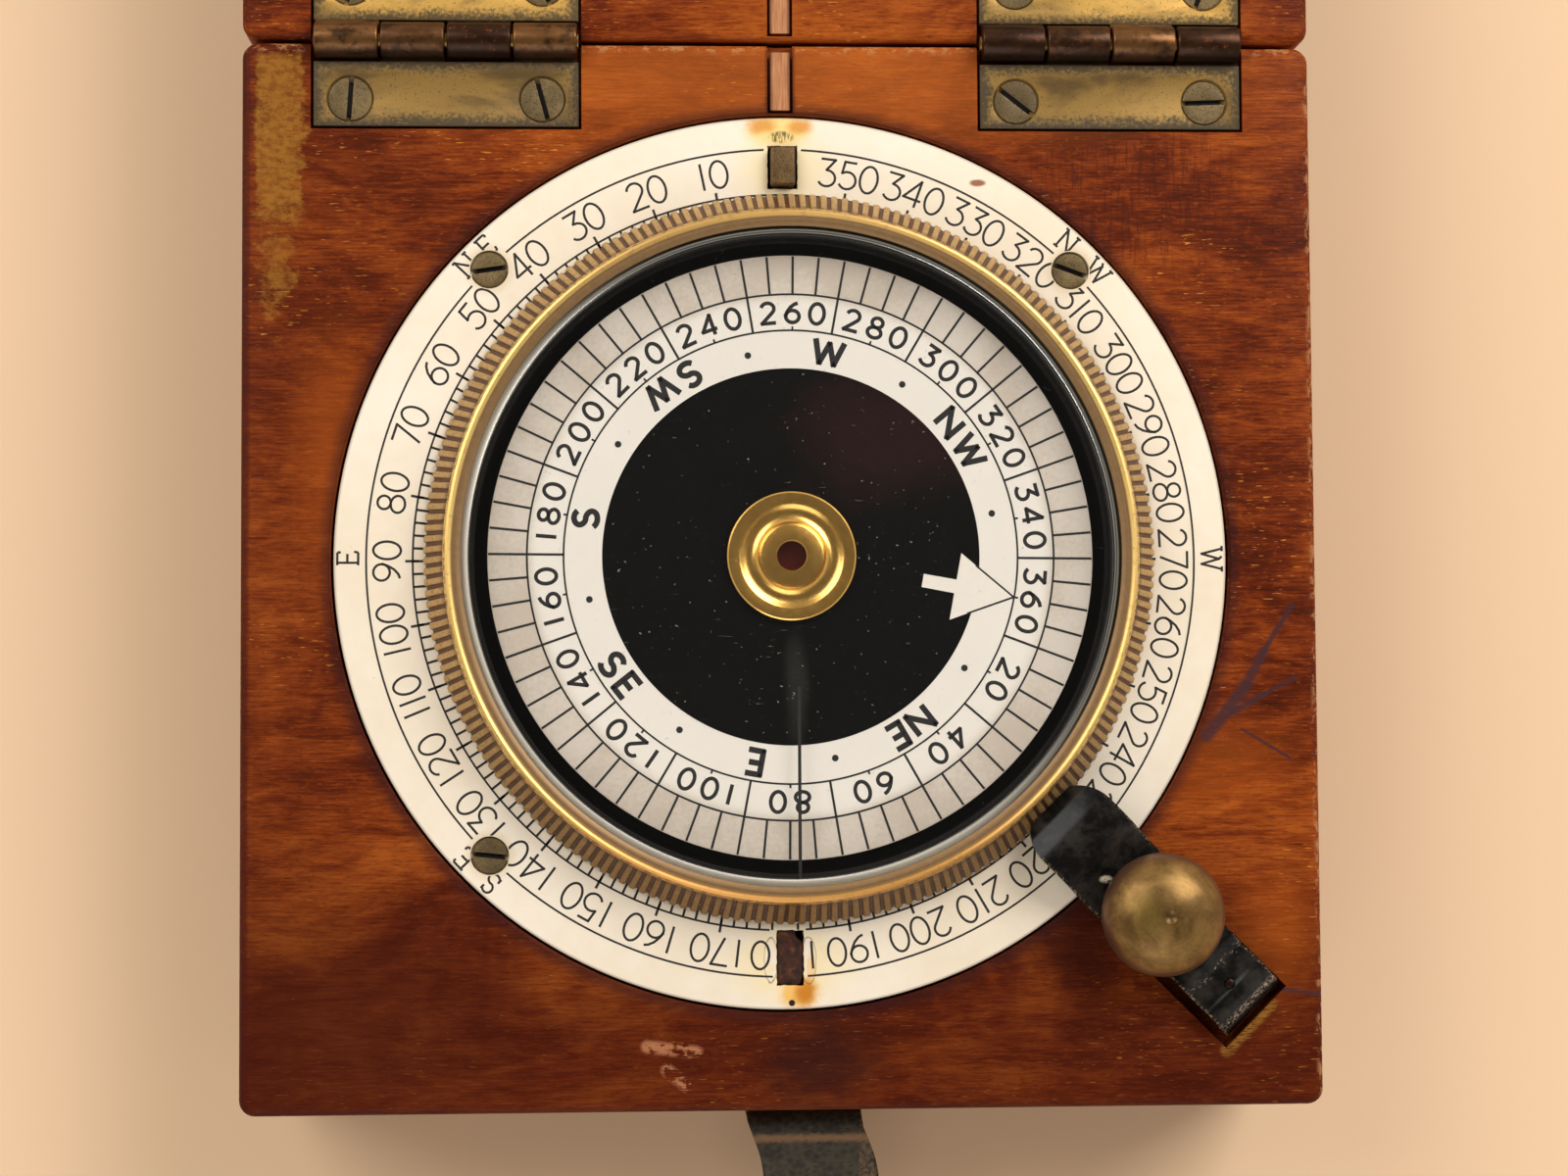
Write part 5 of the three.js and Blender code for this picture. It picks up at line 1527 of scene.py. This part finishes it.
class COMPASS_OT_screws(bpy.types.Operator):
    """Shapes the screws of the ring and of the hinges"""

    bl_idname = "compass.screws"
    bl_label = "Screws"

    def execute(self, context):
        small = screw("small_screw", 1.85, 0.9, 0.9, 8, 0.5)
        for corner, x, y, turn in (("nw", -1, 1, 8), ("ne", 1, 1, -20), ("sw", -1, -1, -6), ("se", 1, -1, 30)):
            node = "dial_screw_" + corner
            twin = moved(copied(small, node + "_shaped"), x * DIAL_SCREW, y * DIAL_SCREW, CASE_TOP, turn)
            place(twin, "case", None, (node,))
        bpy.data.objects.remove(small)
        large = screw("large_screw", 2.3, 0.75, 1.1, 9, 0.5)
        for body, y, turns in (
            ("case", 47.4, {"left": (86, 105), "right": (-38, 2)}),
            ("lid", 59.4, {"left": (80, 110), "right": (20, 70)}),
        ):
            for side, middle in HINGE_MIDDLES.items():
                for i, x in enumerate(HINGE_SCREWS):
                    node = f"hinge_{side}_{body}_screw_{i + 1}"
                    twin = moved(copied(large, node + "_shaped"), middle + x, y, CASE_TOP, turns[side][i])
                    place(twin, body, None, (node,))
        bpy.data.objects.remove(large)
        return {"FINISHED"}


def hinge_leaf(name):
    """A leaf in the hinge's own frame, its plate towards -Y, with its second and fourth knuckle."""
    plate = block(name, (-HINGE_HALF, HINGE_HALF), (-HINGE_DEEP, -2.15), (-1.4, -0.2))
    sink = [(0, -2), (1.3, -2), (1.3, -1.3), (2.42, -0.42), (2.42, 1), (0, 1)]
    cut(plate, *[turned("cutter", sink, 48, x, -6.0) for x in HINGE_SCREWS])
    bevelled(plate, 0.12, 2, 50)
    step = HINGE_HALF / 2
    parts = [plate]
    for i in (1, 3):
        low = -HINGE_HALF + i * step + 0.12
        high = low + step - 0.24
        parts.append(bevelled(block("tongue", (low, high), (-2.3, -0.4), (-1.4, -0.25)), 0.1, 1))
        barrel = rod("knuckle", 1.85, low, high, 64)
        edit(barrel)
        choose(barrel, lambda a, b: abs(a.z - b.z) < 0.01 and abs(a.z - (low + high) / 2) > 1, "EDGE")
        bpy.ops.mesh.bevel(offset=0.22 * MM, segments=3)
        leave()
        parts.append(tilted(barrel, 90, "Y"))
    leaf = joined(name, parts)
    return smooth(leaf)


class COMPASS_OT_hinges(bpy.types.Operator):
    """Shapes the leaves of the two hinges"""

    bl_idname = "compass.hinges"
    bl_label = "Hinges"

    def execute(self, context):
        pattern = hinge_leaf("leaf")
        for side, middle in HINGE_MIDDLES.items():
            for body, turn in (("case", 0), ("lid", 180)):
                node = f"hinge_{side}_{body}_leaf"
                leaf = moved(copied(pattern, node + "_shaped"), middle, HINGE_Y, HINGE_Z, turn)
                plate = "leaf brass" if body == "case" else "lid leaf brass"
                place(leaf, body, (plate, "knuckle brass"), (node,))
                edit(leaf)
                assign(leaf, 1, lambda spot, normal: abs(spot.y - HINGE_Y) < 2.05)
                leave()
        bpy.data.objects.remove(pattern)
        paint_nodes("brass", "hinge_left_pin", "hinge_right_pin")
        return {"FINISHED"}


class COMPASS_OT_bowl(bpy.types.Operator):
    """Shapes the bowl and finishes what stands in it"""

    bl_idname = "compass.bowl"
    bl_label = "Bowl"

    def execute(self, context):
        bowl = on_bowl(
            "bowl_turned",
            [(0, 4.3), (33.0, 4.3), (33.4, 4.7), (33.4, 27.2), (34.5, 27.2), (34.6, 27.3), (34.6, 28.6)]
            + [(34.5, 28.7), (32.35, 28.7), (32.2, 28.55), (32.2, 6.5), (31.2, 5.5), (0, 5.5)],
        )
        place(smooth(bowl), "case", "black brass", ("bowl",))
        paint_nodes("black brass", "bowl_mounting_ring")
        paint_nodes("brass", "bowl_screw_1", "bowl_screw_2", "bowl_screw_3", "pivot_post")
        paint_nodes("steel", "pivot_needle")
        return {"FINISHED"}


BEZEL_SLOPE = [(37.3, 28.3), (37.3, 28.7), (36.95, 29.4), (36.2, 30.75), (35.45, 32.1), (35.1, 32.7)]
BEZEL_REST = [
    (35.0, 32.94), (34.86, 33.1), (34.6, 33.2), (34.36, 33.1), (34.22, 32.96), (34.08, 32.82),
    (33.94, 32.84), (33.6, 32.76), (33.34, 32.62), (33.3, 32.4), (34.2, 31.5), (34.2, 29.0),
    (34.9, 29.0), (34.9, 25.0), (35.7, 25.0), (35.7, 28.3),
]
# How far round a tooth's pitch each cut lies, and how deep it is
GROOVE_START = 0.58
TOOTH_SHARES = [(0.1, 0.0), (0.48, 0.0), (GROOVE_START, 0.4), (0.67, 1.0), (0.91, 1.0), (1.0, 0.4)]


def choose_last(obj, count, test):
    """Opens a mesh with those of its last points selected that pass a test."""
    edit(obj)
    bpy.ops.mesh.select_mode(type="VERT")
    bpy.ops.mesh.select_all(action="DESELECT")
    leave()
    for vertex in list(obj.data.vertices)[-count:]:
        vertex.select = test(vertex.co / MM)
    bpy.ops.object.mode_set(mode="EDIT")


def bezel_tooth(pitch, depth):
    """One milled tooth and the groove beside it, as a slice of the whole bezel."""
    profile = BEZEL_SLOPE + BEZEL_REST
    milled = {round(height, 3) for _, height in BEZEL_SLOPE[:-1]}
    reach = BEZEL_SLOPE[0][0]

    def scale(share):
        return (reach - depth * share) / reach

    def on_slope(spot):
        far = math.hypot(spot.x, spot.y)
        return far > 35.2 and round(spot.z, 3) in milled and not (far < 36 and spot.z < 28.31)

    obj = wire("bezel_turned", [(radius, 0, height) for radius, height in profile + profile[:1]])
    turn, level = 0.0, 0.0
    for share, cut_share in [(0.0, 0.4)] + TOOTH_SHARES:
        if share > turn:
            count = len(obj.data.vertices)
            choose_last(obj, len(profile), lambda spot: True)
            angle = math.radians(pitch * (share - turn))
            bpy.ops.mesh.spin(steps=1, angle=angle, center=(0, 0, 0), axis=(0, 0, -1))
            leave()
            assert len(obj.data.vertices) == count + len(profile)
        choose_last(obj, len(profile), on_slope)
        ratio = scale(cut_share) / scale(level)
        bpy.ops.transform.resize(value=(ratio, ratio, 1), center_override=(0, 0, 0))
        leave()
        turn, level = share, cut_share
    return obj


class COMPASS_OT_bezel(bpy.types.Operator):
    """Shapes the milled bezel and the ring that holds the glass, and finishes the ring that keeps the bezel on
    """

    bl_idname = "compass.bezel"
    bl_label = "Bezel"

    def execute(self, context):
        sizes = context.scene.compass_sizes
        pitch = 360 / sizes.tooth_count
        bezel = bezel_tooth(pitch, sizes.tooth_depth / MM)
        give(bezel, "milled land", "milled groove", "bezel gold", "bezel brown")

        def reach(spot):
            return math.hypot(spot.x, spot.y)

        def turn(spot):
            return math.degrees(math.atan2(spot.y, spot.x)) / pitch

        edit(bezel)
        tests = (
            lambda spot, normal: spot.z < 32.72 and reach(spot) > 34.95 and turn(spot) > GROOVE_START,
            lambda spot, normal: spot.z > 32.6 and reach(spot) > 34.18,
            lambda spot, normal: spot.z > 32.3 and reach(spot) <= 34.18,
        )
        for index, test in enumerate(tests, 1):
            assign(bezel, index, test)
        leave()
        around(bezel, sizes.tooth_count, pitch)
        edit(bezel)
        close_shell(0.012)
        leave()
        moved(bezel, BOWL_X, BOWL_Y)
        smooth(bezel, 22)
        place(bezel, "bezel", None, ("bezel",))
        holder = on_bowl(
            "retaining_ring_turned",
            [(32.5, 29.0), (33.9, 29.0), (33.9, 30.6), (32.65, 30.6), (32.5, 30.45)],
        )
        place(smooth(holder), "bezel", "black brass", ("glass_retaining_ring",))
        paint_nodes("brass", "bezel_keeper_ring")
        return {"FINISHED"}


class COMPASS_OT_glass(bpy.types.Operator):
    """Shapes the bevelled glass with the index line on its underside"""

    bl_idname = "compass.glass"
    bl_label = "Glass"

    def execute(self, context):
        disc = on_bowl(
            "glass_disc",
            [(0, 30.9), (33.8, 30.9), (33.9, 31.0), (33.9, 31.3), (32.75, 32.45), (32.6, 32.5), (0, 32.5)],
            192,
        )
        place(smooth(disc, 15), "bezel", "glass", ("glass",))
        line = block("index_line", (1.26, 1.6), (-32.5, -13.0), (30.84, 30.88))
        bevelled(line, 0.01, 1)
        place(line, "bezel", "print")
        return {"FINISHED"}


def card_turn(obj):
    """Turns a piece of the card to the card's heading, on the bowl's axis."""
    return moved(obj, BOWL_X, BOWL_Y, 0, -HEADING)


CARD_TOP = 29.45


class COMPASS_OT_card(bpy.types.Operator):
    """Shapes the card and draws its print"""

    bl_idname = "compass.card"
    bl_label = "Card"

    def execute(self, context):
        sizes = context.scene.compass_sizes
        disc = on_bowl(
            "card_disc_shaped",
            [(3.9, 28.95), (30.75, 28.95), (30.8, 29.0), (30.8, 29.4), (30.75, CARD_TOP), (3.9, CARD_TOP)],
            192,
        )
        place(smooth(disc), "card", "card", ("card_disc",))
        middle = on_bowl(
            "card_black_middle",
            [(4.0, CARD_TOP), (19.2, CARD_TOP), (19.2, CARD_TOP + INK_RISE), (4.0, CARD_TOP + INK_RISE)],
        )
        place(middle, "card", "black print")
        rise = (CARD_TOP, CARD_TOP + INK_RISE)
        parts = [
            flat_arc("line", 26.8, 0.2, 0, 360, CARD_TOP),
            flat_arc("line", 23.1, 0.19, 0, 360, CARD_TOP),
        ]
        ray = block("line", (-0.12, 0.12), (26.8, 30.7), rise)
        parts.append(around(ray, 72, 5))
        side = moved(block("line", (-0.12, 0.12), (23.1, 26.8), rise), turn=10)
        parts.append(around(side, 18, 20))
        mark = block("line", (-0.1, 0.1), (23.1, 23.5), rise)
        parts.append(around(mark, 18, 20))
        lines = joined("card_divisions", parts)
        place(card_turn(lines), "card", "print")
        height, line = sizes.card_figure_height / MM, sizes.card_figure_line / MM
        figures = alphabet("0123468", height, line, stretch=1.18)
        letters = []
        for value in range(20, 361, 20):
            letters += written(str(value), figures, value, 23.9, height, 1.04, clockwise=True)
        clear(figures)
        capitals = alphabet("NESW", 2.38, 0.6, stretch=1.26)
        for i, text in enumerate(("NE", "E", "SE", "S", "SW", "W", "NW"), 1):
            inward = text in ("SE", "SW")
            letters += written(text, capitals, 45 * i, 20.02, 2.38, 1.1, clockwise=True, inward=inward)
        clear(capitals)
        for i in range(8):
            letters.append(moved(moved(rod("dot", 0.34, 0, INK_RISE, 20), 0, 20.95), turn=22.5 + 45 * i))
        text = joined("card_figures", letters)
        moved(text, z=CARD_TOP)
        place(card_turn(text), "card", "print")
        self.arrow()
        return {"FINISHED"}

    def arrow(self):
        """Draws the white arrow that points north, and its outline on the white band."""
        right = [(0.68, 13.6), (0.7, 17.0), (3.45, 17.0)]
        outline = right + [(0, 23.05)] + [(-x, y) for x, y in reversed(right)]
        high = CARD_TOP + INK_RISE + 0.015
        shape = prism("north_arrow", outline, CARD_TOP, high)
        place(card_turn(shape), "card", "white print")
        strokes = [[(-2.5, 18.65), (0, 23.05), (2.5, 18.65)]]
        rim = inked("north_arrow_outline", strokes, 1.0, 0.19)
        moved(rim, z=high)
        place(card_turn(rim), "card", "print")


class COMPASS_OT_cap(bpy.types.Operator):
    """Shapes the card's turned cap and finishes what is under the card"""

    bl_idname = "compass.cap"
    bl_label = "Cap"

    def execute(self, context):
        cap = on_bowl(
            "cap_turned",
            [
                (1.5, 30.5), (1.6, 30.6), (3.0, 30.6), (3.25, 30.52), (3.4, 30.3), (3.75, 30.05),
                (4.2, 29.92), (4.6, 29.94), (5.0, 30.08), (5.25, 30.22), (5.4, 30.25), (6.4, 30.25),
                (6.55, 30.15), (6.55, 29.85), (6.45, 29.75), (3.6, 29.75), (3.6, 27.55), (2.2, 27.55),
                (2.2, 29.45), (1.5, 29.45),
            ],
            128,
        )
        place(smooth(cap), "card", "polished brass", ("card_cap",))
        paint_nodes("jewel", "cap_jewel")
        paint_nodes("steel", "magnet_east", "magnet_west")
        paint_nodes("brass", "magnet_clip_north", "magnet_clip_south")
        return {"FINISHED"}


def middle_line():
    """The clamp strip's middle line, along and up."""
    low, crest = 29.65, 2.45
    toe = [(0, 0.29), (0.1, 0.68), (0.25, 1), (0.41, 0.84), (0.54, 0.33), (0.65, 0.05), (0.76, 0), (1, 0)]
    ridge = [(0.38, 0), (0.49, 0.16), (0.61, 0.38), (0.72, 0.2), (0.82, 0.02), (1, 0.1)]
    tail = [(0.35, 0.2), (0.78, -0.3), (1, -1.12)]
    points = []
    for start, reach, shares in ((TOE, 15.3, toe), (KNOB, 10.1, ridge), (RIVET, 3.8, tail)):
        points += [Vector((start + along * reach, low + rise * crest)) for along, rise in shares]
    return points


def along_curve(points, steps):
    """Points and slopes on a smooth curve through the given points."""
    found = []
    count = len(points) - 1
    for i in range(steps + 1):
        where = i / steps * count
        k = min(int(where), count - 1)
        t = where - k
        a, b, c, d = (points[max(k - 1, 0)], points[k], points[k + 1], points[min(k + 2, count)])
        v0, v1 = (c - a) / 2, (d - b) / 2
        spot = (2 * b - 2 * c + v0 + v1) * t**3 + (-3 * b + 3 * c - 2 * v0 - v1) * t**2 + v0 * t + b
        slope = (2 * b - 2 * c + v0 + v1) * 3 * t**2 + (-3 * b + 3 * c - 2 * v0 - v1) * 2 * t + v0
        found.append((spot, slope.normalized()))
    return found


def thickened(points, steps, half):
    """The outline of a bent strip from its middle line, half of its thickness to each side."""
    upper, lower = [], []
    for spot, slope in along_curve(points, steps):
        out = Vector((-slope.y, slope.x)) * half
        upper.append(tuple(spot + out))
        lower.append(tuple(spot - out))
    return lower + upper[::-1]


class COMPASS_OT_clamp(bpy.types.Operator):
    """Shapes the sprung strip, the thumb knob and the rivet"""

    bl_idname = "compass.clamp"
    bl_label = "Clamp"

    def execute(self, context):
        self.strip()
        self.knob()
        rivet = turned(
            "rivet_turned",
            [(0, 23.0), (0.45, 23.0), (0.45, 30.3), (0.5, 30.42), (0.44, 30.5), (0.28, 30.56), (0, 30.58)],
            32,
            *clamp_place(RIVET),
        )
        place(smooth(rivet), "case", "knuckle brass", ("clamp_rivet",))
        paint_nodes("brass", "clamp_washer", "clamp_nut")
        paint_nodes("steel", "clamp_screw")
        return {"FINISHED"}

    def strip(self):
        """Bends the strip by its side view and trims it to its plan."""
        side = prism("strip_bent", thickened(middle_line(), 96, 0.45), -6, 6)
        tilted(side, 90, "X")
        start, half, tail, r = TOE - 0.9, 4.6, 3.8, 4.1
        end = TAIL + 0.9
        outline = [(start + r, -half), (KNOB - 3.2, -half), (KNOB + 3.2, -tail), (end, -tail), (end, tail)]
        outline += [(KNOB + 3.2, tail), (KNOB - 3.2, half), (start + r, half)]
        outline += arc(start + r, half - r, r, r, 97.5, 180, 11)
        outline += arc(start + r, r - half, r, r, 180, 262.5, 11)
        plan = prism("cutter", outline, 24, 36)
        cut(side, plan, operation="INTERSECT")
        cut(side, drill(2.1, 20, 36, KNOB, 0, 48), drill(0.55, 20, 36, RIVET, 0))
        bevelled(side, 0.3, 3, 50)
        moved(side, *clamp_place(0), turn=-45)
        place(smooth(side, 40), "clamp_strip", "japan", ("clamp_strip",))

    def knob(self):
        """Turns the domed knob with its collar, rim and dimple."""
        profile = [(0, 34.0), (1.8, 34.0), (1.8, 31.4), (3.3, 31.4), (3.4, 31.5), (3.4, 31.9)]
        profile += [(5.9, 32.3), (6.1, 32.36), (6.2, 32.5), (6.2, 32.9)]
        profile += [spot for spot in arc(0, 33.0, 6.2, 4.1, 3.6, 86.4, 23) if spot[0] > 0.85]
        profile += [(0.7, 37.04), (0.55, 36.92), (0.3, 36.78), (0, 36.74)]
        knob = turned("knob_turned", profile, 96, *clamp_place(KNOB))
        place(smooth(knob), "clamp_knob", "knob brass", ("clamp_knob",))


class COMPASS_OT_strap(bpy.types.Operator):
    """Shapes the leather tab, bent over its fold, and the nails that hold it"""

    bl_idname = "compass.strap"
    bl_label = "Leather tab"

    def execute(self, context):
        ahead = Vector((-math.cos(STRAP_DROOP), -math.sin(STRAP_DROOP)))
        above = Vector((-math.sin(STRAP_DROOP), math.cos(STRAP_DROOP)))
        fold = Vector((FOLD_Y, FOLD_Z))
        line = [Vector((-56.9, z)) for z in (6.0, 8.5, 11.0, 13.5, 15.6)]
        line += [Vector((-56.95, 17.2)), Vector((-57.3, 18.6)), Vector((-58.2, 19.35))]
        reaches = (1.6, 3.2, 5.5, 8, 10.5, 13, 16, 19, 22, 24.5, 26.0)
        line += [fold + ahead * reach + above * 0.7 for reach in reaches]
        tab = prism("leather_tab", thickened(line, 90, 0.78), STRAP_X - 5.9, STRAP_X + 5.9, "YZ")
        hole = tilted(rod("cutter", 2.65, -4, 6, 64), math.degrees(STRAP_DROOP), "X")
        reach = fold + ahead * 17.2
        cut(tab, moved(hole, STRAP_X, reach.x, reach.y))
        end = fold + ahead * (26 - 5.9)
        trim = block("cutter", (-8, 8), (-9, 0), (-4, 6))
        cut(trim, rod("cutter", 5.9, -5, 7, 96))
        tilted(trim, math.degrees(STRAP_DROOP), "X", STRAP_X, end.x, end.y)
        cut(tab, trim)
        bevelled(tab, 0.28, 3, 50)
        for vertex in tab.data.vertices:
            share = (FOLD_Y - vertex.co.y / MM) / 16.5
            if 0 < share < 1:
                vertex.co.x += 1.9 * MM * math.sin(math.pi * share**0.8) ** 1.5
        smooth(tab, 45)
        give(tab, "leather")
        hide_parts("strap_root", "strap_flap")
        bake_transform(tab)
        nail = turned(
            "nail",
            [(0, -6), (0.3, -5.4), (0.7, -4.6), (0.7, 0), (1.6, 0), (1.7, 0.08)]
            + arc(0, 0, 1.7, 0.8, 15, 75, 4)
            + [(0, 0.8)],
            32,
        )
        tilted(nail, 90, "X")
        for i, z in enumerate(NAIL_HEIGHTS, 1):
            twin = moved(copied(nail, f"strap_nail_{i}_shaped"), STRAP_X, -58.0, z)
            place(smooth(twin), "case", "brass", (f"strap_nail_{i}",))
        bpy.data.objects.remove(nail)
        return {"FINISHED"}


class COMPASS_PT_panel(bpy.types.Panel):
    """Lists the steps that build the compass"""

    bl_label = "Compass"
    bl_idname = "COMPASS_PT_panel"
    bl_space_type = "VIEW_3D"
    bl_region_type = "UI"
    bl_category = "Compass"

    def draw(self, context):
        for group in (context.scene.compass_sizes, context.scene.compass_colours):
            for name in group.__annotations__:
                self.layout.prop(group, name)
        for step in STEPS:
            self.layout.operator(step.bl_idname)


STEPS = (
    COMPASS_OT_stage,
    COMPASS_OT_camera,
    COMPASS_OT_case,
    COMPASS_OT_lid,
    COMPASS_OT_dial,
    COMPASS_OT_engraving,
    COMPASS_OT_index_blocks,
    COMPASS_OT_screws,
    COMPASS_OT_hinges,
    COMPASS_OT_bowl,
    COMPASS_OT_bezel,
    COMPASS_OT_glass,
    COMPASS_OT_card,
    COMPASS_OT_cap,
    COMPASS_OT_clamp,
    COMPASS_OT_strap,
)
CLASSES = (CompassSizes, CompassColours, *STEPS, COMPASS_PT_panel)


def register():
    """Registers the classes and hangs the sizes and colours on the scene."""
    for item in CLASSES:
        bpy.utils.register_class(item)
    bpy.types.Scene.compass_sizes = bpy.props.PointerProperty(type=CompassSizes)
    bpy.types.Scene.compass_colours = bpy.props.PointerProperty(type=CompassColours)


def unregister():
    """Undoes what register did."""
    del bpy.types.Scene.compass_colours
    del bpy.types.Scene.compass_sizes
    for item in reversed(CLASSES):
        bpy.utils.unregister_class(item)


def main():
    """Builds the whole compass."""
    register()
    for step in STEPS:
        group, name = step.bl_idname.split(".")
        getattr(getattr(bpy.ops, group), name)()
    pick()


if __name__ == "__main__":
    main()
